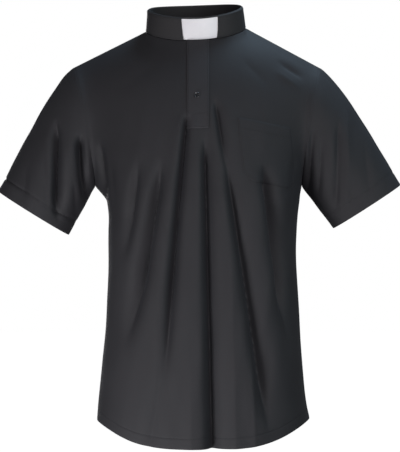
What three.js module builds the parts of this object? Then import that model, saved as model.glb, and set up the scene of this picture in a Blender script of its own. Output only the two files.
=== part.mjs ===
// A short-sleeved clerical polo shirt, hollow and in its worn shape, in millimetres.
// +X is the wearer's left, -Y the front and +Z up. The origin is between the two neck points,
// where the shirt hangs on the shoulders. Each cut piece is a thin closed wall of its own.

import * as THREE from "three";

// Cloth thickness and the gap left between two pieces at a seam
const CLOTH = 1.6;
const HEM_CLOTH = 3.0;
const THIN_CLOTH = 1.2;
const SEAM_GAP = 0.3;
const PATCH_GAP = 0.95;
const COLLAR_FOOT = 0.8;
const MIN_RIM_SLOPE = 0.1;
const MIN_MITRE = 0.9;

// Levels and hem of the body. The tails drop quickly from the side seams and are flat between.
const ARMPIT_LEVEL = -267;
const HEM_SIDE_LEVEL = -665;
const HEM_SIDE_TILT = 1.5;
const FRONT_TAIL = 38;
const BACK_TAIL = 45;
const TAIL_WIDTH = 3.2;
const TAIL_CORNER = 1.5;
const BODY_HEM_DEPTH = 18;
const HEM_STEP = 1;

// Outline of the body at each level: the two sides, the front and the back
const BODY_SECTIONS = [
  { level: -267, left: -180, right: 175, front: -126, back: 112 },
  { level: -283, left: -165, right: 172, front: -127, back: 111 },
  { level: -303, left: -157, right: 168, front: -127, back: 110 },
  { level: -360, left: -157, right: 162, front: -126, back: 107 },
  { level: -430, left: -157, right: 165, front: -126, back: 107 },
  { level: -500, left: -161, right: 170, front: -128, back: 111 },
  { level: -570, left: -168, right: 175, front: -130, back: 115 },
  { level: -630, left: -174, right: 181, front: -131, back: 118 },
  { level: -670, left: -177, right: 189, front: -132, back: 119 },
  { level: -720, left: -178, right: 190, front: -132, back: 120 },
];
const BODY_ROUNDNESS = 2.3;

// Shoulders: the tips, where the seam ends at the armhole
const SHOULDER_TIP = {
  left: new THREE.Vector3(-216, 0, -62),
  right: new THREE.Vector3(206, 0, -63),
};

// Armholes: how far they swing forward and back, and how round and scooped they are
const ARMHOLE_FORWARD = 56;
const ARMHOLE_BACKWARD = 58;
const ARMHOLE_ROUND = 0.6;
const ARMHOLE_SCOOP = 6;

// Neckline and collar: an ellipse that leans forward and rolls a little to one side.
// The saddle lifts its two sides above the plane of the lean.
const NECK_CENTRE = new THREE.Vector3(-7, 0, -0.5);
const NECK_HALF_WIDTH = 86;
const NECK_HALF_DEPTH = 60;
const NECK_SADDLE = 3;
const NECK_LEAN = THREE.MathUtils.degToRad(18);
const NECK_ROLL = THREE.MathUtils.degToRad(2);
const COLLAR_HEIGHT = 38;
const COLLAR_TAPER = 4;
const COLLAR_CLOTH = 1.4;

// Where the columns under the two neck points cross the armpit level
const NECK_COLUMN_X = { left: -86, right: 73 };

// How far round each column of the body turns towards the neck
const SHOULDER_TURN = THREE.MathUtils.degToRad(88);
const FRONT_NECK_TURN = THREE.MathUtils.degToRad(58);
const BACK_NECK_TURN = THREE.MathUtils.degToRad(72);

// Collar tab: the part that shows, and how far it runs behind the outer ply
const TAB_TOP_HALF = 31;
const TAB_FOOT_HALF = 28.5;
const TAB_HIDDEN = 26;
const TAB_FOOT = 1.4;
const TAB_TOP = 36;

// Placket: its edges across the front, how its two strips end at the slash's foot as shares of
// a row, and its button
const SLASH_LEFT = -18;
const SLASH_RIGHT = 13;
const UPPER_LEFT = -21.5;
const UPPER_RIGHT = 14.5;
const UPPER_LIFT = CLOTH + 2 * SEAM_GAP;
const UNDER_FOOT_TRIM = 0.02;
const UPPER_FOOT_REACH = 0.1;
const BUTTON_LEVEL = -118;
const BUTTON_ACROSS = -5;
const BUTTON_DIAMETER = 10.5;
const BUTTON_THICKNESS = 1.8;
const BUTTON_BEVEL = 0.4;
const BUTTON_HOLE = 0.8;
const BUTTON_HOLE_REACH = 1.5;

// Patch pocket on the wearer's left chest. Its mouth slopes down and its sides lean towards the
// armhole, as the cloth under it hangs.
const POCKET = { left: 62, top: -154, width: 90, height: 104, slope: -0.18, lean: 0.1, corner: 14 };

// Sleeves: the two corners of each cuff as they are seen from the front
const SLEEVES = {
  left: { outer: [-347, -275], inner: [-226, -350], drop: [-0.86, -0.51] },
  right: { outer: [345, -264], inner: [229, -339], drop: [0.86, -0.51] },
};
const CUFF_HALF_DEPTH = 54;
const SLEEVE_FULLNESS = 0.55;
const SLEEVE_HEM_DEPTH = 25;

// Folds on each panel: a line from its top to its foot, the sideways bow of the line, the half
// width and depth, and the lengths over which the top and the foot fade out. Depth is positive
// for a trough and negative for a ridge.
const FRONT_FOLDS = [
  { x0: -22, z0: -160, x1: -64, z1: -640, bow: 4, width: 12, depth: 8, start: 60, end: 220 },
  { x0: 6, z0: -190, x1: 26, z1: -780, bow: -2, width: 13, depth: 12, start: 130, end: 60 },
  { x0: 25, z0: -138, x1: 112, z1: -660, bow: 0, width: 14, depth: 10, start: 150, end: 160 },
  { x0: 114, z0: -270, x1: 164, z1: -510, bow: -7, width: 16, depth: 9, start: 90, end: 90 },
  { x0: -67, z0: -235, x1: -126, z1: -530, bow: 4, width: 15, depth: 8, start: 110, end: 110 },
  { x0: -112, z0: -250, x1: -137, z1: -460, bow: 0, width: 15, depth: 4, start: 80, end: 90 },
  { x0: 92, z0: -560, x1: 97, z1: -790, bow: 0, width: 19, depth: -6, start: 90, end: 60 },
  { x0: -166, z0: -185, x1: -150, z1: -300, bow: 0, width: 12, depth: 4, start: 50, end: 50 },
];
const BACK_FOLDS = [
  { x0: -48, z0: -200, x1: -80, z1: -780, bow: -5, width: 19, depth: 9, start: 150, end: 70 },
  { x0: 16, z0: -290, x1: 6, z1: -790, bow: 5, width: 19, depth: 11, start: 150, end: 70 },
  { x0: 76, z0: -190, x1: 106, z1: -660, bow: 4, width: 18, depth: 8, start: 130, end: 180 },
  { x0: -116, z0: -250, x1: -140, z1: -540, bow: 0, width: 16, depth: 5, start: 90, end: 120 },
];
const SLEEVE_FOLDS = {
  left: [
    { x0: -243, z0: -140, x1: -235, z1: -340, bow: 0, width: 12, depth: 8, start: 60, end: 60 },
    { x0: -206, z0: -165, x1: -190, z1: -305, bow: -3, width: 11, depth: 8, start: 50, end: 50 },
  ],
  right: [
    { x0: 198, z0: -140, x1: 190, z1: -300, bow: 0, width: 13, depth: 6, start: 60, end: 60 },
    { x0: 234, z0: -160, x1: 229, z1: -280, bow: 0, width: 11, depth: 3, start: 50, end: 50 },
    { x0: 250, z0: -110, x1: 248, z1: -300, bow: 0, width: 14, depth: -3, start: 60, end: 60 },
  ],
};

// How finely each piece is divided
const SHOULDER_COLUMNS = 10;
const NECK_COLUMNS = 7;
const SLASH_COLUMNS = 3;
const BACK_NECK_COLUMNS = 11;
const UPPER_ROWS = 12;
const LOWER_ROWS = 15;
const SLASH_ROWS = 8;
const SLEEVE_ROWS = 8;
const COLLAR_COLUMNS = 44;
const COLLAR_ROWS = 2;
const TAB_COLUMNS = 16;
const POCKET_ROWS = 10;
const POCKET_COLUMNS = 11;
const EASE_PASSES = 8;

// The columns that bound the slash, and how far from a seam the folds reach full depth
const SLASH_START = SHOULDER_COLUMNS + NECK_COLUMNS;
const SLASH_END = SLASH_START + SLASH_COLUMNS;
const BODY_CALM_CELLS = 3;
const SLEEVE_CALM_ROWS = 2;

// Newton's method for a place on a panel
const PLACE_STEP = 0.01;
const PLACE_ROUNDS = 30;

const { lerp, clamp, smoothstep } = THREE.MathUtils;

// A number raised to a power with its sign kept
function signedPower(value, power) {
  return Math.sign(value) * Math.abs(value) ** power;
}

// The body's outline at any level, on a smooth curve through the section table
function sectionAt(level) {
  const last = BODY_SECTIONS.length - 1;
  let index = 0;
  while (index < last - 1 && level < BODY_SECTIONS[index + 1].level) index += 1;
  const above = BODY_SECTIONS[index];
  const below = BODY_SECTIONS[index + 1];
  const before = BODY_SECTIONS[Math.max(index - 1, 0)];
  const after = BODY_SECTIONS[Math.min(index + 2, last)];
  const span = below.level - above.level;
  const share = clamp((level - above.level) / span, 0, 1);
  const section = {};
  for (const key of ["left", "right", "front", "back"]) {
    const startSlope = ((below[key] - before[key]) / (below.level - before.level)) * span;
    const endSlope = ((after[key] - above[key]) / (after.level - above.level)) * span;
    section[key] = hermite(above[key], below[key], startSlope, endSlope, share);
  }
  return section;
}

// A cubic from start to end with a slope given at each
function hermite(start, end, startSlope, endSlope, share) {
  const square = share * share;
  const cube = square * share;
  return (
    (2 * cube - 3 * square + 1) * start +
    (cube - 2 * square + share) * startSlope +
    (3 * square - 2 * cube) * end +
    (cube - square) * endSlope
  );
}

// A point on the body's ring at a level. The angle runs from -90 degrees at the left side
// to 90 degrees at the right, and facing is -1 for the front half and 1 for the back half.
function ringPoint(angle, level, facing) {
  const section = sectionAt(level);
  const middle = (section.left + section.right) / 2;
  const halfWidth = (section.right - section.left) / 2;
  const depth = facing < 0 ? section.front : section.back;
  const power = 2 / BODY_ROUNDNESS;
  return new THREE.Vector3(
    middle + halfWidth * signedPower(Math.sin(angle), power),
    depth * Math.max(Math.cos(angle), 0) ** power,
    level
  );
}

// The ring angle whose point at the armpit level has a given x
function angleAtX(x) {
  const section = sectionAt(ARMPIT_LEVEL);
  const middle = (section.left + section.right) / 2;
  const halfWidth = (section.right - section.left) / 2;
  return Math.asin(signedPower((x - middle) / halfWidth, BODY_ROUNDNESS / 2));
}

// A point on the neck's leaning ellipse, raised along the collar and set in from its face.
// The turn is 0 at the front, positive towards +X.
function neckPoint(turn, height = 0, inset = 0) {
  const taper = (COLLAR_TAPER * height) / COLLAR_HEIGHT;
  const point = new THREE.Vector3(
    (NECK_HALF_WIDTH - taper - inset) * Math.sin(turn),
    -(NECK_HALF_DEPTH - taper - inset) * Math.cos(turn),
    height - NECK_SADDLE * Math.cos(2 * turn)
  );
  point.applyAxisAngle(new THREE.Vector3(1, 0, 0), NECK_LEAN);
  point.applyAxisAngle(new THREE.Vector3(0, 1, 0), -NECK_ROLL);
  return point.add(NECK_CENTRE);
}

// The turn round the neck whose point at a collar height has a given x
function turnAtX(x, height) {
  const halfWidth = NECK_HALF_WIDTH - (COLLAR_TAPER * height) / COLLAR_HEIGHT;
  return Math.asin((x - NECK_CENTRE.x) / halfWidth);
}

// Level of the hem round the body: highest at the side seams
function hemLevel(angle, facing) {
  const tail = facing < 0 ? FRONT_TAIL : BACK_TAIL;
  const side = HEM_SIDE_LEVEL + HEM_SIDE_TILT * Math.sin(angle);
  return side - tail * (1 - Math.abs(Math.sin(angle)) ** TAIL_WIDTH) ** TAIL_CORNER;
}

// Depth of all the folds of a table at a place on a panel. Across its line a fold is a trough
// with a low ridge on each side, and along its line it fades in and out.
function foldDepth(folds, x, z) {
  let depth = 0;
  for (const fold of folds) {
    if (z >= fold.z0 || z <= fold.z1) continue;
    const share = (z - fold.z0) / (fold.z1 - fold.z0);
    const line = lerp(fold.x0, fold.x1, share) + fold.bow * Math.sin(Math.PI * share);
    const aside = ((x - line) / fold.width) ** 2;
    const ends = smoothstep(fold.z0 - z, 0, fold.start) * smoothstep(z - fold.z1, 0, fold.end);
    depth += fold.depth * ends * (1 - aside) * Math.exp(-aside / 2);
  }
  return depth;
}

// A grid of outer points, row by row, with their outward normals
function makePanel(rows, columns, closed, pointAt) {
  const count = closed ? columns : columns + 1;
  const points = [];
  for (let row = 0; row <= rows; row += 1) {
    const line = [];
    for (let column = 0; column < count; column += 1) line.push(pointAt(row, column));
    points.push(line);
  }
  const panel = { rows, columns, closed, points };
  panel.normals = gridNormals(panel);
  panel.seamNormals = panel.normals.map((line) => line.map((normal) => normal.clone()));
  return panel;
}

// Normals from the neighbours of each grid point. Rows run down and columns run so that
// the cross product points out.
function gridNormals({ rows, points, closed }) {
  const count = points[0].length;
  return points.map((line, row) =>
    line.map((_, column) => {
      const up = points[Math.max(row - 1, 0)][column];
      const down = points[Math.min(row + 1, rows)][column];
      const before = closed ? line[(column + count - 1) % count] : line[Math.max(column - 1, 0)];
      const after = closed ? line[(column + 1) % count] : line[Math.min(column + 1, count - 1)];
      const along = new THREE.Vector3().subVectors(after, before);
      return new THREE.Vector3().subVectors(down, up).cross(along).normalize();
    })
  );
}

// Panels that meet share one normal at each seam point, so that their rims are parallel.
// Where the body's two panels meet a sleeve, the body counts as one.
function shareSeams(bodyPanels, sleevePanels) {
  const sums = new Map();
  const keyOf = (point) => point.toArray().map((value) => Math.round(value * 100)).join();
  const eachPoint = (panel, visit) =>
    panel.points.forEach((line, row) =>
      line.forEach((point, column) => visit(keyOf(point), row, column))
    );
  const gather = (panels, kind) => {
    for (const panel of panels) {
      eachPoint(panel, (key, row, column) => {
        if (!sums.has(key)) {
          sums.set(key, { body: new THREE.Vector3(), sleeve: new THREE.Vector3(), count: 0 });
        }
        const entry = sums.get(key);
        entry[kind].add(panel.normals[row][column]);
        entry.count += 1;
      });
    }
  };
  gather(bodyPanels, "body");
  gather(sleevePanels, "sleeve");
  for (const panel of [...bodyPanels, ...sleevePanels]) {
    eachPoint(panel, (key, row, column) => {
      const { body, sleeve, count } = sums.get(key);
      if (count < 2) return;
      const shared = body.clone().normalize().add(sleeve.clone().normalize());
      panel.seamNormals[row][column].copy(shared.normalize());
    });
  }
}

// The step that draws a panel's edge back from a seam: in the panel's own face, square to the
// seam, and long enough to leave half the gap between the two rims
function stepBack(panel, row, column, alongRow) {
  const { points, closed } = panel;
  const count = points[0].length;
  const pick = (offset) => {
    if (!alongRow) return points[clamp(row + offset, 0, panel.rows)][column];
    if (closed) return points[row][(column + offset + count) % count];
    return points[row][clamp(column + offset, 0, count - 1)];
  };
  const seam = new THREE.Vector3().subVectors(pick(1), pick(-1)).normalize();
  const inside = alongRow ? points[row + 1][column] : points[row][column === 0 ? 1 : count - 2];
  const step = new THREE.Vector3().crossVectors(panel.normals[row][column], seam).normalize();
  if (step.dot(new THREE.Vector3().subVectors(inside, points[row][column])) < 0) step.negate();
  const rimNormal = new THREE.Vector3().crossVectors(seam, panel.seamNormals[row][column]).normalize();
  return step.multiplyScalar(SEAM_GAP / 2 / Math.max(Math.abs(step.dot(rimNormal)), MIN_RIM_SLOPE));
}

// Draw a panel back from its seams: its top row, and its two side columns if it is open
function openSeams(panel) {
  const lastColumn = panel.points[0].length - 1;
  const steps = [];
  panel.points.forEach((line, row) =>
    line.forEach((point, column) => {
      if (row === 0) steps.push([point, stepBack(panel, row, column, true)]);
      if (!panel.closed && (column === 0 || column === lastColumn)) {
        steps.push([point, stepBack(panel, row, column, false)]);
      }
    })
  );
  for (const [point, step] of steps) point.add(step);
}

// A closed wall from a panel: the outer face, the inner face and a rim on every free edge
function makeWall(panel, thicknessAt, isOpenCell = () => false) {
  const { points, normals, seamNormals, closed } = panel;
  const count = points[0].length;
  const outer = [];
  const inner = [];
  points.forEach((line, row) =>
    line.forEach((point, column) => {
      const normal = seamNormals[row][column];
      const lean = Math.max(normal.dot(normals[row][column]), MIN_MITRE);
      outer.push(point);
      inner.push(point.clone().addScaledVector(normal, -thicknessAt(row, column) / lean));
    })
  );
  const indexOf = (row, column) => row * count + (closed ? (column + count) % count : column);
  const hasCell = (row, column) => {
    if (row < 0 || row >= panel.rows) return false;
    if (!closed && (column < 0 || column >= panel.columns)) return false;
    return !isOpenCell(row, column);
  };
  const vertices = [...outer, ...inner];
  const faces = [];
  const shift = outer.length;
  const quad = (a, b, c, d) => faces.push(a, b, c, a, c, d);
  for (let row = 0; row < panel.rows; row += 1) {
    for (let column = 0; column < panel.columns; column += 1) {
      if (!hasCell(row, column)) continue;
      const a = indexOf(row, column);
      const b = indexOf(row + 1, column);
      const c = indexOf(row + 1, column + 1);
      const d = indexOf(row, column + 1);
      quad(a, b, c, d);
      quad(shift + a, shift + d, shift + c, shift + b);
      if (!hasCell(row - 1, column)) quad(d, shift + d, shift + a, a);
      if (!hasCell(row + 1, column)) quad(b, shift + b, shift + c, c);
      if (!hasCell(row, column - 1)) quad(a, shift + a, shift + b, b);
      if (!hasCell(row, column + 1)) quad(c, shift + c, shift + d, d);
    }
  }
  return toGeometry(vertices, faces);
}

// A geometry of the vertices that the faces use
function toGeometry(vertices, faces) {
  const used = new Map();
  const positions = [];
  const index = faces.map((vertex) => {
    if (!used.has(vertex)) {
      used.set(vertex, used.size);
      positions.push(...vertices[vertex].toArray());
    }
    return used.get(vertex);
  });
  const geometry = new THREE.BufferGeometry();
  geometry.setAttribute("position", new THREE.Float32BufferAttribute(positions, 3));
  geometry.setIndex(index);
  geometry.computeVertexNormals();
  return geometry;
}

// Columns of a body panel. Each has its ring angle, its top point and its shares of neck and edge.
function bodyColumn(position, facing) {
  const neckColumns = facing < 0 ? 2 * NECK_COLUMNS + SLASH_COLUMNS : BACK_NECK_COLUMNS;
  const neckStart = SHOULDER_COLUMNS;
  const neckEnd = SHOULDER_COLUMNS + neckColumns;
  const last = neckEnd + SHOULDER_COLUMNS;
  const leftAngle = angleAtX(NECK_COLUMN_X.left);
  const rightAngle = angleAtX(NECK_COLUMN_X.right);
  const quarter = Math.PI / 2;
  if (position <= neckStart || position >= neckEnd) {
    const isLeft = position <= neckStart;
    const edge = isLeft ? 1 - position / neckStart : (position - neckEnd) / (last - neckEnd);
    const neck = neckPoint(isLeft ? -quarter : quarter);
    const tip = isLeft ? SHOULDER_TIP.left : SHOULDER_TIP.right;
    return {
      angle: isLeft ? lerp(leftAngle, -quarter, edge) : lerp(rightAngle, quarter, edge),
      top: neck.lerp(tip, edge),
      neckShare: 0,
      edgeShare: edge * edge,
      side: isLeft ? -1 : 1,
    };
  }
  const { angle, turn } = neckColumn(position - neckStart, neckColumns, facing, leftAngle, rightAngle);
  const top = facing < 0 ? neckPoint(turn) : neckPoint(Math.PI - turn);
  return { angle, top, neckShare: Math.sqrt(Math.cos(turn)), edgeShare: 0, side: Math.sign(turn) };
}

// Ring angle and neck turn of a column under the neckline. In front the two columns that
// bound the slash keep their x from the neckline to the armpit level.
function neckColumn(place, neckColumns, facing, leftAngle, rightAngle) {
  const quarter = Math.PI / 2;
  if (facing > 0) {
    const share = place / neckColumns;
    return { angle: lerp(leftAngle, rightAngle, share), turn: lerp(-quarter, quarter, share) };
  }
  const stops = [
    { place: 0, angle: leftAngle, turn: -quarter },
    { place: NECK_COLUMNS, angle: angleAtX(SLASH_LEFT), turn: turnAtX(SLASH_LEFT, 0) },
    { place: NECK_COLUMNS + SLASH_COLUMNS, angle: angleAtX(SLASH_RIGHT), turn: turnAtX(SLASH_RIGHT, 0) },
    { place: neckColumns, angle: rightAngle, turn: quarter },
  ];
  const index = place < stops[1].place ? 0 : place < stops[2].place ? 1 : 2;
  const from = stops[index];
  const to = stops[index + 1];
  const share = (place - from.place) / (to.place - from.place);
  return { angle: lerp(from.angle, to.angle, share), turn: lerp(from.turn, to.turn, share) };
}

// A point of the body above the armpits. Climb runs from 0 at the armpit level to 1 at the top.
function upperPoint(column, climb, facing) {
  const base = ringPoint(column.angle, ARMPIT_LEVEL, facing);
  const neckTurn = facing < 0 ? FRONT_NECK_TURN : BACK_NECK_TURN;
  const turn = lerp(SHOULDER_TURN, neckTurn, column.neckShare);
  const rise = Math.sin(climb * turn) / Math.sin(turn);
  const reach = (Math.cos(climb * turn) - Math.cos(turn)) / (1 - Math.cos(turn));
  const edgeRise = lerp(climb, (1 - Math.cos(Math.PI * climb)) / 2, ARMHOLE_ROUND);
  const height = lerp(rise, edgeRise, column.edgeShare);
  const swing = facing < 0 ? ARMHOLE_FORWARD : ARMHOLE_BACKWARD;
  const bulge = Math.sin(Math.PI * climb) * column.edgeShare;
  return new THREE.Vector3(
    lerp(base.x, column.top.x, height) - column.side * ARMHOLE_SCOOP * bulge,
    lerp(column.top.y, base.y, reach) + facing * swing * bulge,
    lerp(base.z, column.top.z, height)
  );
}

// A body panel: rows run down from the shoulders and neck to the hem
function bodyPanel(facing, folds) {
  const neckColumns = facing < 0 ? 2 * NECK_COLUMNS + SLASH_COLUMNS : BACK_NECK_COLUMNS;
  const columns = 2 * SHOULDER_COLUMNS + neckColumns;
  const rows = UPPER_ROWS + LOWER_ROWS + 2;
  const pointAt = (row, gridColumn) => {
    const column = bodyColumn(facing < 0 ? gridColumn : columns - gridColumn, facing);
    if (row <= UPPER_ROWS) return upperPoint(column, 1 - row / UPPER_ROWS, facing);
    const hem = hemLevel(column.angle, facing);
    const hemTop = hem + BODY_HEM_DEPTH;
    const step = row - UPPER_ROWS;
    const levels = [lerp(ARMPIT_LEVEL, hemTop, step / LOWER_ROWS), hemTop - HEM_STEP, hem];
    return ringPoint(column.angle, levels[Math.max(step - LOWER_ROWS, 0)], facing);
  };
  const panel = makePanel(rows, columns, false, pointAt);
  easePanel(panel, (column) => facing < 0 && column >= SLASH_START && column <= SLASH_END);
  pressFolds(panel, folds);
  return panel;
}

// Ease the creases below the two neck points: above the armpits every inner point moves to the
// middle of its four neighbours, a few times over. Columns at the slash keep their x.
function easePanel(panel, keepsX) {
  for (let pass = 0; pass < EASE_PASSES; pass += 1) {
    const before = panel.points.map((line) => line.map((point) => point.clone()));
    for (let row = 1; row <= UPPER_ROWS; row += 1) {
      for (let column = 1; column < panel.columns; column += 1) {
        const place = panel.points[row][column];
        const x = place.x;
        place.copy(before[row - 1][column]).add(before[row + 1][column]);
        place.add(before[row][column - 1]).add(before[row][column + 1]).multiplyScalar(1 / 4);
        if (keepsX(column)) place.x = x;
      }
    }
  }
  panel.normals = gridNormals(panel);
}

// Press folds into a panel along its normals, fading out towards its side and top seams
function pressFolds(panel, folds) {
  const lastColumn = panel.points[0].length - 1;
  panel.points.forEach((line, row) =>
    line.forEach((point, column) => {
      const calm = Math.min(column, lastColumn - column, row) / BODY_CALM_CELLS;
      const depth = foldDepth(folds, point.x, point.z) * Math.min(calm, 1);
      point.addScaledVector(panel.normals[row][column], -depth);
    })
  );
  panel.normals = gridNormals(panel);
  panel.seamNormals = panel.normals.map((line) => line.map((normal) => normal.clone()));
}

// The armhole's ring of points: down the front edge from the shoulder tip to the armpit,
// then up the back edge
function armholeRing(front, back, side) {
  const frontColumn = side === "left" ? 0 : front.points[0].length - 1;
  const backColumn = side === "left" ? back.points[0].length - 1 : 0;
  const ring = [];
  for (let row = 0; row <= UPPER_ROWS; row += 1) ring.push(front.points[row][frontColumn].clone());
  for (let row = UPPER_ROWS - 1; row > 0; row -= 1) ring.push(back.points[row][backColumn].clone());
  return ring;
}

// A sleeve: a tube from the armhole to the cuff, on one smooth curve for each ring point
function sleevePanel(front, back, side) {
  const { outer, inner, drop } = SLEEVES[side];
  const ring = armholeRing(front, back, side);
  const outerCorner = new THREE.Vector3(outer[0], 0, outer[1]);
  const innerCorner = new THREE.Vector3(inner[0], 0, inner[1]);
  const centre = outerCorner.clone().add(innerCorner).multiplyScalar(0.5);
  const arm = outerCorner.clone().sub(centre);
  const outwards = side === "left" ? -1 : 1;
  const axis = new THREE.Vector3(arm.z * outwards, 0, -Math.abs(arm.x)).normalize();
  const topDirection = new THREE.Vector3(drop[0], 0, drop[1]).normalize();
  const pointAt = (row, gridColumn) => {
    const place = side === "left" ? gridColumn : (ring.length - gridColumn) % ring.length;
    const turn = (2 * Math.PI * place) / ring.length;
    const start = ring[place];
    const end = centre.clone().addScaledVector(arm, Math.cos(turn));
    end.y = -CUFF_HALF_DEPTH * Math.sin(turn);
    const span = start.distanceTo(end) * SLEEVE_FULLNESS;
    const leave = topDirection.clone().lerp(axis, (1 - Math.cos(turn)) / 2).normalize();
    const hemShare = 1 - SLEEVE_HEM_DEPTH / span;
    const shares = [hemShare * (row / SLEEVE_ROWS), hemShare + HEM_STEP / span, 1];
    const share = shares[Math.max(row - SLEEVE_ROWS, 0)];
    return new THREE.Vector3(
      hermite(start.x, end.x, leave.x * span, axis.x * span, share),
      hermite(start.y, end.y, leave.y * span, axis.y * span, share),
      hermite(start.z, end.z, leave.z * span, axis.z * span, share)
    );
  };
  const panel = makePanel(SLEEVE_ROWS + 2, ring.length, true, pointAt);
  pressSleeveFolds(panel, SLEEVE_FOLDS[side]);
  return panel;
}

// Sleeve folds are pressed into the front half, and at half their depth into the back half
function pressSleeveFolds(panel, folds) {
  panel.points.forEach((line, row) =>
    line.forEach((point, column) => {
      const normal = panel.normals[row][column];
      const strength = normal.y < 0 ? -normal.y : normal.y / 2;
      const calm = Math.min(row / SLEEVE_CALM_ROWS, 1);
      const depth = foldDepth(folds, point.x, point.z) * strength * calm;
      point.addScaledVector(normal, -depth);
    })
  );
  panel.normals = gridNormals(panel);
  panel.seamNormals = panel.normals.map((line) => line.map((normal) => normal.clone()));
}

// A place between grid points of a panel, with its normal
function samplePanel(panel, row, column) {
  const row0 = clamp(Math.floor(row), 0, panel.rows - 1);
  const column0 = clamp(Math.floor(column), 0, panel.columns - 1);
  const mix = (grid) => {
    const top = grid[row0][column0].clone().lerp(grid[row0][column0 + 1], column - column0);
    const foot = grid[row0 + 1][column0].clone().lerp(grid[row0 + 1][column0 + 1], column - column0);
    return top.lerp(foot, row - row0);
  };
  return { point: mix(panel.points), normal: mix(panel.normals).normalize() };
}

// The place on a panel that is seen at x and z from the front, found by Newton's method
function findPlace(panel, x, z, row, column) {
  for (let round = 0; round < PLACE_ROUNDS; round += 1) {
    const here = samplePanel(panel, row, column).point;
    const down = samplePanel(panel, row + PLACE_STEP, column).point.sub(here).divideScalar(PLACE_STEP);
    const along = samplePanel(panel, row, column + PLACE_STEP).point.sub(here).divideScalar(PLACE_STEP);
    const missX = x - here.x;
    const missZ = z - here.z;
    const area = down.x * along.z - down.z * along.x;
    row += clamp((missX * along.z - missZ * along.x) / area, -1, 1);
    column += clamp((missZ * down.x - missX * down.z) / area, -1, 1);
  }
  return { row, column };
}

// A patch laid on a panel: its grid places, moved out from the panel
function patchPanel(panel, rows, columns, lift, placeAt) {
  return makePanel(rows, columns, false, (row, column) => {
    const place = placeAt(row, column);
    const { point, normal } = samplePanel(panel, place.row, place.column);
    return point.addScaledVector(normal, lift);
  });
}

// The under strip fills the slash, and the upper strip lies over it and a little past its edges
function placketStrips(front) {
  const trim = (SEAM_GAP * SLASH_COLUMNS) / (SLASH_RIGHT - SLASH_LEFT);
  const under = patchPanel(front, SLASH_ROWS, SLASH_COLUMNS, 0, (row, column) => ({
    row: Math.min(row, SLASH_ROWS - UNDER_FOOT_TRIM),
    column: SLASH_START + lerp(trim, SLASH_COLUMNS - trim, column / SLASH_COLUMNS),
  }));
  const edgeAt = (x) => findPlace(front, x, BUTTON_LEVEL, SLASH_ROWS / 2, SLASH_START).column;
  const columns = [edgeAt(UPPER_LEFT)];
  for (let column = SLASH_START; column <= SLASH_END; column += 1) columns.push(column);
  columns.push(edgeAt(UPPER_RIGHT));
  const upper = patchPanel(front, SLASH_ROWS + 1, columns.length - 1, UPPER_LIFT, (row, column) => ({
    row: Math.min(row, SLASH_ROWS + UPPER_FOOT_REACH),
    column: columns[column],
  }));
  return { under, upper };
}

// The pocket: a leaning rectangle with its two lower corners cut off
function pocketPanel(front) {
  const { left, top, width, height, slope, lean, corner } = POCKET;
  const startRow = UPPER_ROWS - POCKET_ROWS / 2;
  const startColumn = front.columns - SHOULDER_COLUMNS;
  const cells = POCKET_COLUMNS - 2;
  const stops = [0];
  for (let cell = 0; cell <= cells; cell += 1) stops.push(lerp(corner, width - corner, cell / cells));
  stops.push(width);
  return patchPanel(front, POCKET_ROWS, POCKET_COLUMNS, PATCH_GAP + THIN_CLOTH, (row, column) => {
    const along = stops[column];
    const cut = Math.max(corner - Math.min(along, width - along), 0);
    const down = (row / POCKET_ROWS) * (height - cut);
    const x = left + along + down * lean;
    const z = top + along * slope - down;
    return findPlace(front, x, z, startRow, startColumn);
  });
}

// Turns of the collar's front opening at a height
function tabTurns(height) {
  const half = lerp(TAB_FOOT_HALF, TAB_TOP_HALF, height / COLLAR_HEIGHT);
  return { left: turnAtX(-half, height), right: turnAtX(half, height) };
}

// A stretch of collar: rows run down, and turns run from one end to the other
function collarPanel({ foot, top, inset, columns, closed, turnsAt }) {
  const pointAt = (row, column) => {
    const height = lerp(top, foot, row / COLLAR_ROWS);
    const { from, to } = turnsAt(height);
    return neckPoint(lerp(from, to, column / columns), height, inset);
  };
  return makePanel(COLLAR_ROWS, columns, closed, pointAt);
}

// The four-hole button on the upper strip
function buttonGeometry(front) {
  const radius = BUTTON_DIAMETER / 2 - BUTTON_BEVEL;
  const disc = new THREE.Shape();
  disc.absarc(0, 0, radius, 0, 2 * Math.PI);
  for (const across of [-1, 1]) {
    for (const up of [-1, 1]) {
      const hole = new THREE.Path();
      hole.absarc(across * BUTTON_HOLE_REACH, up * BUTTON_HOLE_REACH, BUTTON_HOLE, 0, 2 * Math.PI, true);
      disc.holes.push(hole);
    }
  }
  const geometry = new THREE.ExtrudeGeometry(disc, {
    depth: BUTTON_THICKNESS - 2 * BUTTON_BEVEL,
    bevelThickness: BUTTON_BEVEL,
    bevelSize: BUTTON_BEVEL,
    bevelSegments: 1,
    curveSegments: 6,
  });
  geometry.translate(0, 0, BUTTON_BEVEL);
  const place = findPlace(front, BUTTON_ACROSS, BUTTON_LEVEL, SLASH_ROWS / 2, SLASH_START + 1);
  const { point, normal } = samplePanel(front, place.row, place.column);
  const turn = new THREE.Quaternion().setFromUnitVectors(new THREE.Vector3(0, 0, 1), normal);
  geometry.applyQuaternion(turn);
  point.addScaledVector(normal, UPPER_LIFT + SEAM_GAP);
  return geometry.translate(point.x, point.y, point.z);
}

// Looks: very dark charcoal cloth, a white tab and a glossy dark button
const CLOTH_LOOK = { color: 0x232327, roughness: 0.85, metalness: 0 };
const TAB_LOOK = { color: 0xe2e0e8, roughness: 0.5, metalness: 0 };
const BUTTON_LOOK = { color: 0x1c1c20, roughness: 0.25, metalness: 0 };

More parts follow.
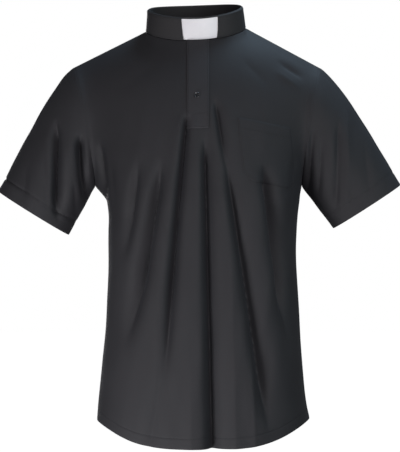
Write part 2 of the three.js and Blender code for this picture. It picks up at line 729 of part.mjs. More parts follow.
// Body and sleeves, in their seams
const front = bodyPanel(-1, FRONT_FOLDS);
const back = bodyPanel(1, BACK_FOLDS);
const sleeves = { left: sleevePanel(front, back, "left"), right: sleevePanel(front, back, "right") };
shareSeams([front, back], [sleeves.left, sleeves.right]);
const strips = placketStrips(front);
const pocket = pocketPanel(front);
const buttonShape = buttonGeometry(front);
for (const panel of [front, back, sleeves.left, sleeves.right]) openSeams(panel);

const bodyThickness = (row) => (row > UPPER_ROWS + LOWER_ROWS ? HEM_CLOTH : CLOTH);
const sleeveThickness = (row) => (row > SLEEVE_ROWS ? HEM_CLOTH : CLOTH);
const inSlash = (row, column) => row < SLASH_ROWS && column >= SLASH_START && column < SLASH_END;

const outerPly = collarPanel({
  foot: COLLAR_FOOT,
  top: COLLAR_HEIGHT,
  inset: 0,
  columns: COLLAR_COLUMNS,
  closed: false,
  turnsAt: (height) => ({ from: tabTurns(height).right, to: tabTurns(height).left + 2 * Math.PI }),
});
const tabInset = COLLAR_CLOTH + SEAM_GAP;
const hiddenTurn = TAB_HIDDEN / NECK_HALF_WIDTH;
const tab = collarPanel({
  foot: TAB_FOOT,
  top: TAB_TOP,
  inset: tabInset,
  columns: TAB_COLUMNS,
  closed: false,
  turnsAt: (height) => ({
    from: tabTurns(height).left - hiddenTurn,
    to: tabTurns(height).right + hiddenTurn,
  }),
});
const innerPly = collarPanel({
  foot: COLLAR_FOOT,
  top: COLLAR_HEIGHT,
  inset: tabInset + THIN_CLOTH + SEAM_GAP,
  columns: COLLAR_COLUMNS,
  closed: true,
  turnsAt: () => ({ from: 0, to: 2 * Math.PI }),
});

const shirt = new THREE.Group();

function add(name, geometry, look) {
  const mesh = new THREE.Mesh(geometry, new THREE.MeshStandardMaterial(look));
  mesh.name = name;
  shirt.add(mesh);
}

add("front", makeWall(front, bodyThickness, inSlash), CLOTH_LOOK);
add("back", makeWall(back, bodyThickness), CLOTH_LOOK);
add("sleeve_right", makeWall(sleeves.left, sleeveThickness), CLOTH_LOOK);
add("sleeve_left", makeWall(sleeves.right, sleeveThickness), CLOTH_LOOK);
add("collar_outer", makeWall(outerPly, () => COLLAR_CLOTH), CLOTH_LOOK);
add("collar_inner", makeWall(innerPly, () => COLLAR_CLOTH), CLOTH_LOOK);
add("collar_tab", makeWall(tab, () => THIN_CLOTH), TAB_LOOK);
add("placket_upper", makeWall(strips.upper, () => CLOTH), CLOTH_LOOK);
add("placket_under", makeWall(strips.under, () => CLOTH), CLOTH_LOOK);
add("pocket", makeWall(pocket, () => THIN_CLOTH), CLOTH_LOOK);
add("button", buttonShape, BUTTON_LOOK);

export default shirt;
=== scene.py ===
# %% [markdown]
# # A clerical polo shirt, piece by piece
#
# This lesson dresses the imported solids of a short-sleeved clerical shirt: near-black cloth,
# a standing band collar with a white tab, a short placket with one button, a chest pocket and
# a curved hem. The shirt hangs in the shape that it has when worn, and it is hollow.
# Every cut piece is a surface worked out with numpy from a few named sizes in millimetres, so
# a size can be changed in one place and every piece that depends on it follows.

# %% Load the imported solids
import math

import bmesh
import bpy
import numpy as np
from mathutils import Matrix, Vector


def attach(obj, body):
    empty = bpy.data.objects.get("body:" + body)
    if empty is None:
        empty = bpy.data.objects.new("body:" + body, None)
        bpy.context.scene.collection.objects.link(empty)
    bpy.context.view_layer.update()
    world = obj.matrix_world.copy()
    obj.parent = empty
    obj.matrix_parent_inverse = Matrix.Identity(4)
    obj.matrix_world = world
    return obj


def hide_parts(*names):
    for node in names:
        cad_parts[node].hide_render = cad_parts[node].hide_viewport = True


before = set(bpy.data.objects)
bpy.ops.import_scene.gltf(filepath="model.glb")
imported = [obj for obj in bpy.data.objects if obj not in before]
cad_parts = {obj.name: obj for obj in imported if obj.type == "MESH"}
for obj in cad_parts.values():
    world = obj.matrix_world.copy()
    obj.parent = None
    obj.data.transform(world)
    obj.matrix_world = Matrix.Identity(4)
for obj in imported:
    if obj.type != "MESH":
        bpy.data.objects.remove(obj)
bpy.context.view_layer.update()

MM = 0.001
print("nodes:", ", ".join(sorted(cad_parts)))

# %% [markdown]
# ## Camera
#
# A product photo of a shirt is taken from a few metres away, level with the chest, so that the
# hem and the collar show with little perspective. The lens could be tried out by eye. Here it
# is found from one number, how many millimetres of the shirt one pixel covers, because then
# every size in the picture can be measured.

# %% Camera
IMAGE_WIDTH = 400
MM_PER_PIXEL = 1.72
CAMERA_DISTANCE = 3.0
CAMERA_LEVEL = -0.335
SENSOR_WIDTH = 36.0

camera_data = bpy.data.cameras.new("camera")
camera_data.sensor_fit = "HORIZONTAL"
camera_data.sensor_width = SENSOR_WIDTH
camera_data.lens = SENSOR_WIDTH * CAMERA_DISTANCE / (IMAGE_WIDTH * MM_PER_PIXEL * MM)
camera = bpy.data.objects.new("camera", camera_data)
camera.location = (0.0, -CAMERA_DISTANCE, CAMERA_LEVEL)
camera.rotation_euler = (math.radians(90), 0.0, 0.0)
bpy.context.scene.collection.objects.link(camera)
bpy.context.scene.camera = camera
print("lens:", round(camera_data.lens, 1), "mm")

# %% [markdown]
# ## Studio
#
# Black cloth shows its shape by soft reflections, so most of the lamps are large. The key lamp
# stands in front, a little to the right. A weak fill comes from above on the left, and a small
# low lamp picks out the left corner of the hem. Two cool lamps, one over the shoulders and one
# at the right, give the edges a bluish bloom, and a wide one lights the back.
# The background is white. It lights the shirt less than it shows, because a full white room
# would wash out the folds, so the world's strength is higher for the camera than for the cloth.

# %% Studio
BACKGROUND = 1.0
ROOM_LIGHT = 0.12
LAMPS = {
    # name: place, aim, size in metres, power in watts, colour
    "key_lamp": ((1.1, -2.98, 0.0), (0, 0, -0.35), 1.4, 52, (1.0, 0.97, 1.0)),
    "fill_lamp": ((-1.9, -1.9, 1.3), (-0.1, 0, -0.2), 1.2, 7, (1.0, 0.98, 1.0)),
    "hem_lamp": ((-0.75, -0.8, -1.15), (-0.11, -0.1, -0.72), 0.4, 13, (0.98, 0.98, 1.0)),
    "shoulder_lamp": ((0.5, 0.3, 1.25), (0.12, 0, -0.05), 0.45, 15, (0.58, 0.8, 1.0)),
    "side_lamp": ((2.4, -1.3, 0.1), (0.3, 0, -0.2), 1.0, 8, (0.45, 0.95, 1.0)),
    "back_lamp": ((-0.5, 3.1, 0.3), (0, 0, -0.35), 2.0, 65, (1.0, 0.98, 1.0)),
}

for name, (place, aim, size, power, colour) in LAMPS.items():
    lamp_data = bpy.data.lights.new(name, "AREA")
    lamp_data.shape = "SQUARE"
    lamp_data.size = size
    lamp_data.energy = power
    lamp_data.color = colour
    lamp = bpy.data.objects.new(name, lamp_data)
    lamp.location = place
    lamp.rotation_euler = (Vector(aim) - Vector(place)).to_track_quat("-Z", "Y").to_euler()
    bpy.context.scene.collection.objects.link(lamp)
    print(name, power, "W")

# %% White room
world = bpy.data.worlds.new("studio")
world.use_nodes = True
bpy.context.scene.world = world
room = world.node_tree
room_background = room.nodes["Background"]
room_background.inputs["Color"].default_value = (1, 1, 1, 1)
seen_directly = room.nodes.new("ShaderNodeLightPath")
strength = room.nodes.new("ShaderNodeMapRange")
strength.inputs["To Min"].default_value = ROOM_LIGHT
strength.inputs["To Max"].default_value = BACKGROUND
room.links.new(seen_directly.outputs["Is Camera Ray"], strength.inputs["Value"])
room.links.new(strength.outputs["Result"], room_background.inputs["Strength"])
bpy.context.scene.view_settings.view_transform = "Standard"
print("background", BACKGROUND, "and light on the shirt", ROOM_LIGHT)

# %% [markdown]
# ## Shader helper
#
# A material could be wired by hand, node by node. Its formula is easier to read as a sum, so a
# `Wire` stands for the output of one node. Plus, minus and times on it add Math nodes, and
# `node` adds any other kind, with its settings and its inputs.

# %% Shader helper


class Wire:
    """One node output, with arithmetic that adds Math nodes."""

    def __init__(self, tree, socket=None):
        self.tree = tree
        self.socket = socket

    def node(self, kind, settings=None, inputs=None, output=0):
        """Adds a node, sets it, fills its sockets with values or wires, and gives one output."""
        made = self.tree.nodes.new(kind)
        for name, value in (settings or {}).items():
            setattr(made, name, value)
        for name, value in (inputs or {}).items():
            if isinstance(value, Wire):
                self.tree.links.new(value.socket, made.inputs[name])
            else:
                made.inputs[name].default_value = value
        return Wire(self.tree, made.outputs[output])

    def math(self, operation, first, second=0.0):
        """One Math node on two values or wires."""
        return self.node("ShaderNodeMath", {"operation": operation}, {0: first, 1: second})

    def __add__(self, other):
        return self.math("ADD", self, other)

    def __sub__(self, other):
        return self.math("SUBTRACT", self, other)

    def __rsub__(self, other):
        return self.math("SUBTRACT", other, self)

    def __mul__(self, other):
        return self.math("MULTIPLY", self, other)

    __radd__ = __add__
    __rmul__ = __mul__

    def sine(self):
        return self.math("SINE", self)

    def size(self):
        """The value without its sign."""
        return self.math("ABSOLUTE", self)

    def blend(self, low, high):
        """A colour between two, by this wire."""
        colours = {0: self, 6: (*low, 1), 7: (*high, 1)}
        return self.node("ShaderNodeMix", {"data_type": "RGBA"}, colours, output=2)


def new_material(name, constants):
    """A material and a wire into its tree. Constants go straight onto the shader's sockets."""
    material = bpy.data.materials.new(name)
    material.use_nodes = True
    shader = material.node_tree.nodes["Principled BSDF"]
    for socket, value in constants.items():
        shader.inputs[socket].default_value = value
    return material, Wire(material.node_tree), shader


def connect(wire, shader, socket):
    """A link from the wire to one of the shader's sockets."""
    wire.tree.links.new(wire.socket, shader.inputs[socket])


# %% [markdown]
# ## Cloth
#
# The shirt is a smooth polyester and cotton knit, nearly black. Seen close up it has fine
# upright wales crossed by courses. Loops of yarn this fine could be real geometry only in
# millions of faces, and a picture of cloth would repeat, so the knit is two crossed waves in
# the material. They follow each piece through its UV map, which holds millimetres across and
# down the cloth, so the pattern bends with the folds. A slow noise moves the colour and the
# gloss a little, as wear and washing do, and sheen gives the soft bloom of fibres at a slant.

# %% Cloth materials
WALE = 0.95
COURSE = 1.15
COURSE_SHIFT = 1.4
SPECK_SHARE = 0.3
KNIT_HEIGHT = 0.0002
CLOTH_ROUGHNESS = 0.7
ROUGHNESS_SPAN = 0.16
CLOTH_SHADER = {
    "Specular IOR Level": 0.34,
    "Sheen Weight": 0.03,
    "Sheen Roughness": 0.4,
    "Sheen Tint": (0.78, 0.84, 1.0, 1),
}


def noise(tree, place, scale, detail, distortion=0.0):
    """Noise from 0 to 1 at a number of waves a metre."""
    inputs = {"Vector": place, "Scale": scale, "Detail": detail, "Distortion": distortion}
    return tree.node("ShaderNodeTexNoise", inputs=inputs)


def cloth_material(name, dark, light, relief):
    """Knit: bump from crossed waves along the UV map, colour and gloss from slow noise."""
    material, tree, shader = new_material(name, CLOTH_SHADER)
    map_node = tree.node("ShaderNodeUVMap", {"uv_map": "cloth"})
    across = tree.node("ShaderNodeSeparateXYZ", inputs={0: map_node})
    down = Wire(tree.tree, across.socket.node.outputs[1])
    place = tree.node("ShaderNodeTexCoord", output=3)
    slow = noise(tree, place, 9.0, 3.0)
    speck = noise(tree, place, 420.0, 2.0)
    wales = (across * (math.pi / WALE)).sine().size()
    courses = (down * (2 * math.pi / COURSE) + wales * COURSE_SHIFT).sine() * 0.5 + 0.5
    knit = wales * (courses * 0.5 + 0.5)
    tone = slow * (1 - SPECK_SHARE) + speck * SPECK_SHARE
    shade = tone.node("ShaderNodeMapRange", inputs={0: tone, 1: 0.3, 2: 0.7, 3: 0.0, 4: 1.0})
    connect(shade.blend(dark, light), shader, "Base Color")
    connect(slow * ROUGHNESS_SPAN + (CLOTH_ROUGHNESS - ROUGHNESS_SPAN / 2), shader, "Roughness")
    height = knit * 0.8 + speck * 0.2
    bump = {"Strength": relief, "Distance": KNIT_HEIGHT, "Height": height}
    connect(tree.node("ShaderNodeBump", inputs=bump), shader, "Normal")
    return material


cloth = cloth_material("cloth", (0.0135, 0.0130, 0.0155), (0.0190, 0.0185, 0.0215), 0.5)
collar_cloth = cloth_material(
    "collar_cloth", (0.0145, 0.0136, 0.0150), (0.0200, 0.0188, 0.0205), 0.4
)
# The placket strips are the same knit as the shirt, but this copy is lighter: the brighter look of
# the raised placket in the light is painted into its colour.
placket_cloth = cloth_material(
    "placket_cloth", (0.0200, 0.0191, 0.0223), (0.0267, 0.0258, 0.0297), 0.5
)
print("cloth materials:", cloth.name, collar_cloth.name, placket_cloth.name)

# %% [markdown]
# ## Tab, button and thread
#
# The tab is a strip of satin white plastic. The button is glossy, with faint lighter swirls
# like those in a cast resin disc. Thread has a little more shine than the cloth round it.
# Plain colours would do from afar, but close up they look like paint, so one noise in each
# material moves its colour and its roughness together.

# %% Hard materials
GRAIN_HEIGHT = 0.0001


def marbled(name, constants, waves, colours, roughness):
    """A material whose colour and roughness follow one noise, between two colours and over a
    least roughness and a span. Gives the material, its tree's wire and its shader."""
    material, tree, shader = new_material(name, constants)
    marks = noise(tree, tree.node("ShaderNodeTexCoord", output=3), *waves)
    least, span = roughness
    connect(marks.blend(*colours), shader, "Base Color")
    connect(marks * span + least, shader, "Roughness")
    return material, tree, shader


TAB_SHADER = {"Coat Weight": 0.15, "Coat Roughness": 0.3, "Specular IOR Level": 0.4}
TAB_COLOURS = ((0.69, 0.672, 0.695), (0.79, 0.772, 0.79))
tab_white, tree, shader = marbled("tab_white", TAB_SHADER, (60.0, 4.0), TAB_COLOURS, (0.32, 0.2))
grain = noise(tree, tree.node("ShaderNodeTexCoord", output=3), 900.0, 2.0)
bump = {"Strength": 0.1, "Distance": GRAIN_HEIGHT, "Height": grain}
connect(tree.node("ShaderNodeBump", inputs=bump), shader, "Normal")

RESIN_COLOURS = ((0.010, 0.010, 0.012), (0.030, 0.030, 0.034))
button_resin, _, _ = marbled(
    "button_resin", {"Specular IOR Level": 0.6}, (350.0, 3.0, 2.0), RESIN_COLOURS, (0.14, 0.15)
)

THREAD_COLOURS = ((0.008, 0.008, 0.010), (0.016, 0.016, 0.019))
thread, _, _ = marbled(
    "thread", {"Specular IOR Level": 0.3}, (1500.0, 1.0), THREAD_COLOURS, (0.55, 0.2)
)
print("hard materials:", tab_white.name, button_resin.name, thread.name)

# %% [markdown]
# ## Smooth lines through a few numbers
#
# The outline of the body is a short table of sections. A cubic runs through its rows. The
# panels themselves are first made on a coarse grid, as the solids are. A Subdivision Surface
# modifier could smooth that grid, but it shrinks the shape and can't put more rows where a
# stitch line needs them. So the grid is carried to a fine one by Catmull-Rom weights, which
# pass through its points: one matrix for the rows and one for the columns.

# %% Curves and grids
EDGE_STOPS = np.array([0.03, 0.07, 0.13, 0.22])
STOP_DIGITS = 4


def cubic(start, end, start_slope, end_slope, share):
    """Hermite cubic: from start to end, leaving and arriving with the slopes given."""
    square = share * share
    cube = square * share
    return (
        (2 * cube - 3 * square + 1) * start
        + (cube - 2 * square + share) * start_slope
        + (3 * square - 2 * cube) * end
        + (cube - square) * end_slope
    )


def smoothstep(value, low, high):
    """0 below low, 1 above high, and a smooth rise between them."""
    share = np.clip((value - low) / (high - low), 0, 1)
    return share * share * (3 - 2 * share)


def mix(start, end, share):
    """Start plus a share of the way to the end."""
    return start + (end - start) * share


def spline_weights(count, stops, closed=False):
    """A matrix that carries `count` values to the places in stops on a Catmull-Rom curve. An
    open line goes straight on past its ends."""
    stops = np.asarray(stops, float)
    last_cell = count - 1 if closed else count - 2
    cell = np.clip(np.floor(stops).astype(int), 0, last_cell)
    t = stops - cell
    parts = [
        -0.5 * t + t**2 - 0.5 * t**3,
        1 - 2.5 * t**2 + 1.5 * t**3,
        0.5 * t + 2 * t**2 - 1.5 * t**3,
        -0.5 * t**2 + 0.5 * t**3,
    ]
    longer = np.zeros((count + 2, count))
    longer[1:-1] = np.eye(count)
    if closed:
        longer[0, -1] = 1
        longer[-1, 0] = 1
    else:
        longer[0, :2] = (2, -1)
        longer[-1, -2:] = (-1, 2)
    weights = np.zeros((len(stops), count + 3))
    line = np.arange(len(stops))
    for offset, part in enumerate(parts):
        weights[line, cell + offset] += part
    if closed:
        wrapped = np.vstack([longer, longer[2]])
        return weights @ wrapped
    return weights[:, :-1] @ longer


def refine(points, row_stops, column_stops, closed=False):
    """Carries a coarse grid of points to the row and column stops."""
    rows = spline_weights(points.shape[0], row_stops)
    columns = spline_weights(points.shape[1], column_stops, closed)
    return np.einsum("ir,rcx,jc->ijx", rows, points, columns)


def grid_normals(points, closed=False):
    """Outward normals: the cross product of the steps down and along."""
    down = np.gradient(points, axis=0)
    if closed:
        along = np.roll(points, -1, axis=1) - np.roll(points, 1, axis=1)
    else:
        along = np.gradient(points, axis=1)
    normals = np.cross(down, along)
    return normals / np.linalg.norm(normals, axis=2, keepdims=True)


def clustered(cells, parts):
    """Stops over a number of cells, with a few close together at the ends for a rolled edge."""
    inner = np.linspace(0, cells, cells * parts + 1)
    stops = np.concatenate([inner, EDGE_STOPS, cells - EDGE_STOPS])
    return np.unique(np.round(stops, STOP_DIGITS))


# %% [markdown]
# ## Neckline
#
# The neck of a shirt isn't a level circle. It is an oval that leans forward, low in front and
# high behind. It could be drawn as a curve, but the collar stands on it and narrows a little
# towards its top. So one function of turn, height and inset gives the neckline, both plies of
# the collar and the tab, and they can't drift apart.

# %% Neckline
NECK_CENTRE = np.array([-7.0, 0.0, -0.5])
NECK_HALF_WIDTH = 86
NECK_HALF_DEPTH = 60
NECK_SADDLE = 3
NECK_LEAN = math.radians(18)
NECK_ROLL = math.radians(2)
COLLAR_HEIGHT = 38
COLLAR_TAPER = 4
COLLAR_CLOTH = 1.4


def neck_point(turn, height=0.0, inset=0.0):
    """An ellipse in the turn, raised by the height and drawn in by the taper and the inset,
    then leant forward about X and rolled a little about Y."""
    turn, height, inset = np.broadcast_arrays(turn, height, inset)
    taper = COLLAR_TAPER * height / COLLAR_HEIGHT
    x = (NECK_HALF_WIDTH - taper - inset) * np.sin(turn)
    y = -(NECK_HALF_DEPTH - taper - inset) * np.cos(turn)
    z = height - NECK_SADDLE * np.cos(2 * turn)
    y, z = (
        y * math.cos(NECK_LEAN) - z * math.sin(NECK_LEAN),
        y * math.sin(NECK_LEAN) + z * math.cos(NECK_LEAN),
    )
    x, z = (
        x * math.cos(NECK_ROLL) - z * math.sin(NECK_ROLL),
        x * math.sin(NECK_ROLL) + z * math.cos(NECK_ROLL),
    )
    return np.stack([x, y, z], axis=-1) + NECK_CENTRE


def turn_at_x(x, height):
    """The turn whose point at a height has this x."""
    half_width = NECK_HALF_WIDTH - COLLAR_TAPER * height / COLLAR_HEIGHT
    return np.arcsin((x - NECK_CENTRE[0]) / half_width)


print("front of the neckline:", neck_point(0.0).round(1), "back:", neck_point(math.pi).round(1))


# %% [markdown]
# ## Body panels
#
# Front and back are two halves of one tube below the arms. They could be sculpted, or cut flat
# and draped over a figure by simulation, but the outline of the picture is easier to meet with
# numbers. Each ring of the tube is a rounded rectangle whose sides, front and back come from
# the section table. Above the armpits the columns climb to the shoulder seam and the neckline
# and lean in as they go, and at the armhole they swing out and back on a rounder path.
# Averaging each inner point with its neighbours eases the crease that this would leave under
# the neck.

# %% Body sizes
ARMPIT_LEVEL = -267
HEM_SIDE_LEVEL = -665
HEM_SIDE_TILT = 1.5
TAIL = {"front": 38, "back": 45}
TAIL_WIDTH = 3.2
TAIL_CORNER = 1.5
BODY_ROUNDNESS = 2.3
SECTIONS = np.array(
    [
        # level, left, right, front, back
        (-267, -180, 175, -126, 112),
        (-283, -165, 172, -127, 111),
        (-303, -157, 168, -127, 110),
        (-360, -157, 162, -126, 107),
        (-430, -157, 165, -126, 107),
        (-500, -161, 170, -128, 111),
        (-570, -168, 175, -130, 115),
        (-630, -174, 181, -131, 118),
        (-670, -177, 189, -132, 119),
        (-720, -178, 190, -132, 120),
    ],
    float,
)
SHOULDER_TIP = {"left": np.array([-216.0, 0, -62]), "right": np.array([206.0, 0, -63])}
ARMHOLE_SWING = {"front": 56, "back": 58}
ARMHOLE_ROUND = 0.6
ARMHOLE_SCOOP = 6
NECK_COLUMN_X = {"left": -86, "right": 73}
SHOULDER_TURN = math.radians(88)
NECK_TURN = {"front": math.radians(58), "back": math.radians(72)}
SHOULDER_COLUMNS = 10
NECK_COLUMNS = 7
SLASH_COLUMNS = 3
BACK_NECK_COLUMNS = 11
UPPER_ROWS = 12
LOWER_ROWS = 16
SLASH_ROWS = 8
SLASH_LEFT = -18
SLASH_RIGHT = 13
SLASH_START = SHOULDER_COLUMNS + NECK_COLUMNS
SLASH_END = SLASH_START + SLASH_COLUMNS
EASE_PASSES = 8
FACING = {"front": -1, "back": 1}
print("sections:", len(SECTIONS), "from", SECTIONS[0, 0], "to", SECTIONS[-1, 0], "mm")


# %% Body surfaces


def section_at(level):
    """The four sizes of the ring at a level, on cubics through the table."""
    levels = SECTIONS[:, 0]
    last = len(levels) - 1
    index = np.clip(np.searchsorted(-levels, -level, side="right") - 1, 0, last - 1)
    above, below = SECTIONS[index], SECTIONS[index + 1]
    before, after = SECTIONS[np.maximum(index - 1, 0)], SECTIONS[np.minimum(index + 2, last)]
    span = below[..., :1] - above[..., :1]
    share = np.clip((level[..., None] - above[..., :1]) / span, 0, 1)
    start_slope = (below - before) / (below[..., :1] - before[..., :1]) * span
    end_slope = (after - above) / (after[..., :1] - above[..., :1]) * span
    return cubic(above, below, start_slope, end_slope, share)


def signed_power(value, power):
    """The power of the value's size, with the value's sign."""
    return np.sign(value) * np.abs(value) ** power


def ring_point(angle, level, side):
    """Superellipse: x from the sine and y from the cosine of the angle, each to the power two
    over the roundness, scaled to the section at the level."""
    angle, level = np.broadcast_arrays(np.asarray(angle, float), np.asarray(level, float))
    section = section_at(level)
    left, right = section[..., 1], section[..., 2]
    depth = section[..., 3] if side == "front" else section[..., 4]
    power = 2 / BODY_ROUNDNESS
    x = (left + right) / 2 + (right - left) / 2 * signed_power(np.sin(angle), power)
    y = depth * np.maximum(np.cos(angle), 0) ** power
    return np.stack([x, y, level], axis=-1)


def angle_at_x(x):
    """The angle whose point at the armpit level has this x."""
    section = section_at(np.array(float(ARMPIT_LEVEL)))
    middle, half = (section[1] + section[2]) / 2, (section[2] - section[1]) / 2
    return np.arcsin(signed_power((x - middle) / half, BODY_ROUNDNESS / 2))


def body_columns(side):
    """Ring angle, top point and shares of neck and armhole for every column, left to right."""
    quarter = math.pi / 2
    left_angle = angle_at_x(NECK_COLUMN_X["left"])
    right_angle = angle_at_x(NECK_COLUMN_X["right"])
    edge = np.linspace(1, 0, SHOULDER_COLUMNS + 1)
    left_top = mix(neck_point(-quarter), SHOULDER_TIP["left"], edge[:, None])
    right_top = mix(neck_point(quarter), SHOULDER_TIP["right"], edge[::-1, None])
    if side == "front":
        stops = np.cumsum([0, NECK_COLUMNS, SLASH_COLUMNS, NECK_COLUMNS])
        angles = [left_angle, angle_at_x(SLASH_LEFT), angle_at_x(SLASH_RIGHT), right_angle]
        turns = [-quarter, turn_at_x(SLASH_LEFT, 0), turn_at_x(SLASH_RIGHT, 0), quarter]
    else:
        stops = [0, BACK_NECK_COLUMNS]
        angles = [left_angle, right_angle]
        turns = [-quarter, quarter]
    place = np.arange(1, stops[-1])
    turn = np.interp(place, stops, turns)
    neck_top = neck_point(turn if side == "front" else math.pi - turn)
    none = np.zeros(SHOULDER_COLUMNS + 1)
    return {
        "angle": np.concatenate(
            [
                mix(left_angle, -quarter, edge),
                np.interp(place, stops, angles),
                mix(right_angle, quarter, edge[::-1]),
            ]
        ),
        "top": np.concatenate([left_top, neck_top, right_top]),
        "neck": np.concatenate([none, np.sqrt(np.cos(turn)), none]),
        "edge": np.concatenate([edge**2, 0 * turn, edge[::-1] ** 2]),
        "outwards": np.concatenate([none - 1, np.sign(turn), none + 1]),
    }


def upper_surface(columns, climb, side):
    """From the armpit ring to the top: height follows the sine and reach the cosine of a turn
    that is smaller under the neck, and the armhole swings out by half a sine wave."""
    base = ring_point(columns["angle"], ARMPIT_LEVEL, side)
    turn = mix(SHOULDER_TURN, NECK_TURN[side], columns["neck"])
    rise = np.sin(climb * turn) / np.sin(turn)
    reach = (np.cos(climb * turn) - np.cos(turn)) / (1 - np.cos(turn))
    edge_rise = mix(climb, (1 - np.cos(math.pi * climb)) / 2, ARMHOLE_ROUND)
    height = mix(rise, edge_rise, columns["edge"])
    bulge = np.sin(math.pi * climb) * columns["edge"]
    top = columns["top"]
    x = mix(base[:, 0], top[:, 0], height) - columns["outwards"] * ARMHOLE_SCOOP * bulge
    y = mix(top[:, 1], base[:, 1], reach) + FACING[side] * ARMHOLE_SWING[side] * bulge
    z = mix(base[:, 2], top[:, 2], height)
    return np.stack([x, y, z], axis=-1)


def body_panel(side):
    """The coarse grid of a body panel, rows from the top to the hem, eased above the armpits."""
    columns = body_columns(side)
    climb = np.linspace(1, 0, UPPER_ROWS + 1)[:, None]
    upper = upper_surface(columns, climb, side)
    angle = columns["angle"]
    tail = (1 - np.abs(np.sin(angle)) ** TAIL_WIDTH) ** TAIL_CORNER
    hem = HEM_SIDE_LEVEL + HEM_SIDE_TILT * np.sin(angle) - TAIL[side] * tail
    down = np.arange(1, LOWER_ROWS + 1)[:, None] / LOWER_ROWS
    lower = ring_point(angle, mix(ARMPIT_LEVEL, hem, down), side)
    points = np.concatenate([upper, lower])
    slash_x = points[1 : UPPER_ROWS + 1, SLASH_START : SLASH_END + 1, 0].copy()
    inner = (slice(1, UPPER_ROWS + 1), slice(1, -1))
    for _ in range(EASE_PASSES):
        around = points[:UPPER_ROWS, 1:-1] + points[2 : UPPER_ROWS + 2, 1:-1]
        beside = points[1 : UPPER_ROWS + 1, :-2] + points[1 : UPPER_ROWS + 1, 2:]
        points[inner] = (around + beside) / 4
        if side == "front":
            points[1 : UPPER_ROWS + 1, SLASH_START : SLASH_END + 1, 0] = slash_x
    return points if side == "front" else points[:, ::-1]


coarse = {side: body_panel(side) for side in FACING}
print("coarse grids:", coarse["front"].shape, coarse["back"].shape)

# %% [markdown]
# ## Folds
#
# The cloth hangs from the shoulders over a chest that is narrower than the shirt, so folds fan
# out from the foot of the placket, and others drop from the armholes. A cloth simulation would
# make folds too, but in places of its own. Here each fold has its place in the picture, so it
# is a row of a table and is pressed along a line on the front or back view. Across the line
# it is a rounded V with a low swell on both sides, and along it the fold widens and fades,
# each one by its own amount. The same lines in the solids are broader and fewer.

# %% Fold tables
# Each row: x0, z0, x1, z1, bow, widths at its top and foot, lean, depth, fades at its top and foot
FRONT_FOLDS = [
    (-21, -146, -63, -640, -2, 5.5, 15, 0.1, 30, 25, 240),
    (7.5, -180, 21.5, -760, 0, 8, 19, 0.3, 32, 60, 20),
    (24, -120, 44, -250, 1, 6, 9, 0.2, 13, 30, 80),
    (38, -200, 116, -690, 2, 10, 19, 0.2, 27, 110, 130),
    (104, -228, 146, -540, 3, 10, 16, 0.2, 31, 50, 120),
    (-62, -218, -128, -550, 4, 10, 19, 0, 32, 70, 150),
    (-101, -218, -127, -400, 0, 9, 13, 0, 16, 60, 80),
    (-64, -570, -86, -720, 0, 13, 18, 0, 5, 90, 40),
    (-18, -470, -14, -730, 0, 12, 16, 0, -2, 140, 20),
    (48, -330, 60, -735, 0, 12, 17, 0, -3, 120, 20),
    (84, -500, 90, -735, 0, 12, 16, 0, -4, 100, 20),
    (-170, -190, -160, -300, 0, 7, 10, 0, 11, 30, 40),
    (-150, -215, -140, -330, 0, 7, 9, 0, 3, 40, 60),
    (160, -205, 150, -300, 0, 7, 9, 0, 4, 40, 50),
    (-187, -158, -184, -205, 0, 4, 6, 0, 5, 15, 25),
    (128, -52, 182, -88, 0, 6, 7, 0, 4.5, 25, 30),
    (122, -70, 176, -106, 0, 7, 8, 0, -2.5, 25, 30),
    (62, -45, 128, -112, 0, 12, 18, 0, 2.0, 40, 50),
    (-60, -50, -150, -120, 0, 14, 18, 0, 1.2, 50, 60),
]
BACK_FOLDS = [
    (-46, -180, -82, -790, 5, 8, 18, -0.1, 22, 100, 30),
    (15, -255, 6, -790, -5, 8, 19, 0.1, 24, 120, 20),
    (74, -170, 108, -690, -4, 8, 18, 0.1, 20, 100, 140),
    (-114, -245, -142, -570, 0, 9, 15, 0, 14, 90, 120),
    (120, -310, 138, -700, 0, 9, 15, 0, 10, 110, 120),
    (-14, -420, -36, -780, 0, 13, 18, 0, 7, 120, 30),
    (44, -430, 56, -780, 0, 12, 18, 0, -4, 120, 30),
    (-165, -185, -124, -255, 0, 7, 10, 0, 6, 30, 40),
    (160, -180, 120, -255, 0, 7, 10, 0, 6, 30, 40),
    (-96, -60, -40, -88, 0, 12, 16, 0, 2, 40, 40),
    (92, -58, 34, -90, 0, 12, 16, 0, 2, 40, 40),
]
SLEEVE_FOLDS = {
    "sleeve_right": [
        (-245, -150, -240, -335, 0, 8, 12, 0.1, 26, 40, 60),
        (-204, -176, -191, -312, 0, 8, 10, 0, 26, 30, 50),
        (-264, -200, -258, -330, 0, 10, 13, 0, 4, 50, 50),
        (-292, -215, -300, -310, 0, 11, 14, 0, 3, 40, 40),
        (-216, -250, -210, -340, 0, 6, 9, 0, 4, 30, 30),
    ],
    "sleeve_left": [
        (188, -150, 182, -300, 0, 11, 15, 0, 12, 50, 50),
        (206, -175, 200, -300, 0, 9, 12, 0, 6, 40, 40),
        (235, -150, 229, -320, 0, 6, 9, 0, 7, 40, 40),
        (250, -120, 249, -320, 0, 12, 16, 0, -4, 50, 50),
        (278, -170, 288, -290, 0, 11, 14, 0, 3, 50, 50),
    ],
}
SLEEVE_BACK_FOLDS = {
    "sleeve_right": [
        (-232, -145, -222, -350, 0, 9, 13, 0, 12, 60, 50),
        (-202, -180, -190, -310, 0, 8, 10, 0, 14, 40, 40),
        (-270, -190, -276, -320, 0, 10, 14, 0, 4, 50, 50),
    ],
    "sleeve_left": [
        (194, -160, 188, -310, 0, 8, 12, 0, 14, 50, 50),
        (226, -155, 222, -335, 0, 9, 12, 0, 9, 50, 50),
        (268, -180, 276, -300, 0, 10, 14, 0, 4, 50, 50),
    ],
}
print("folds:", len(FRONT_FOLDS), "in front,", len(BACK_FOLDS), "behind, the rest on the sleeves")

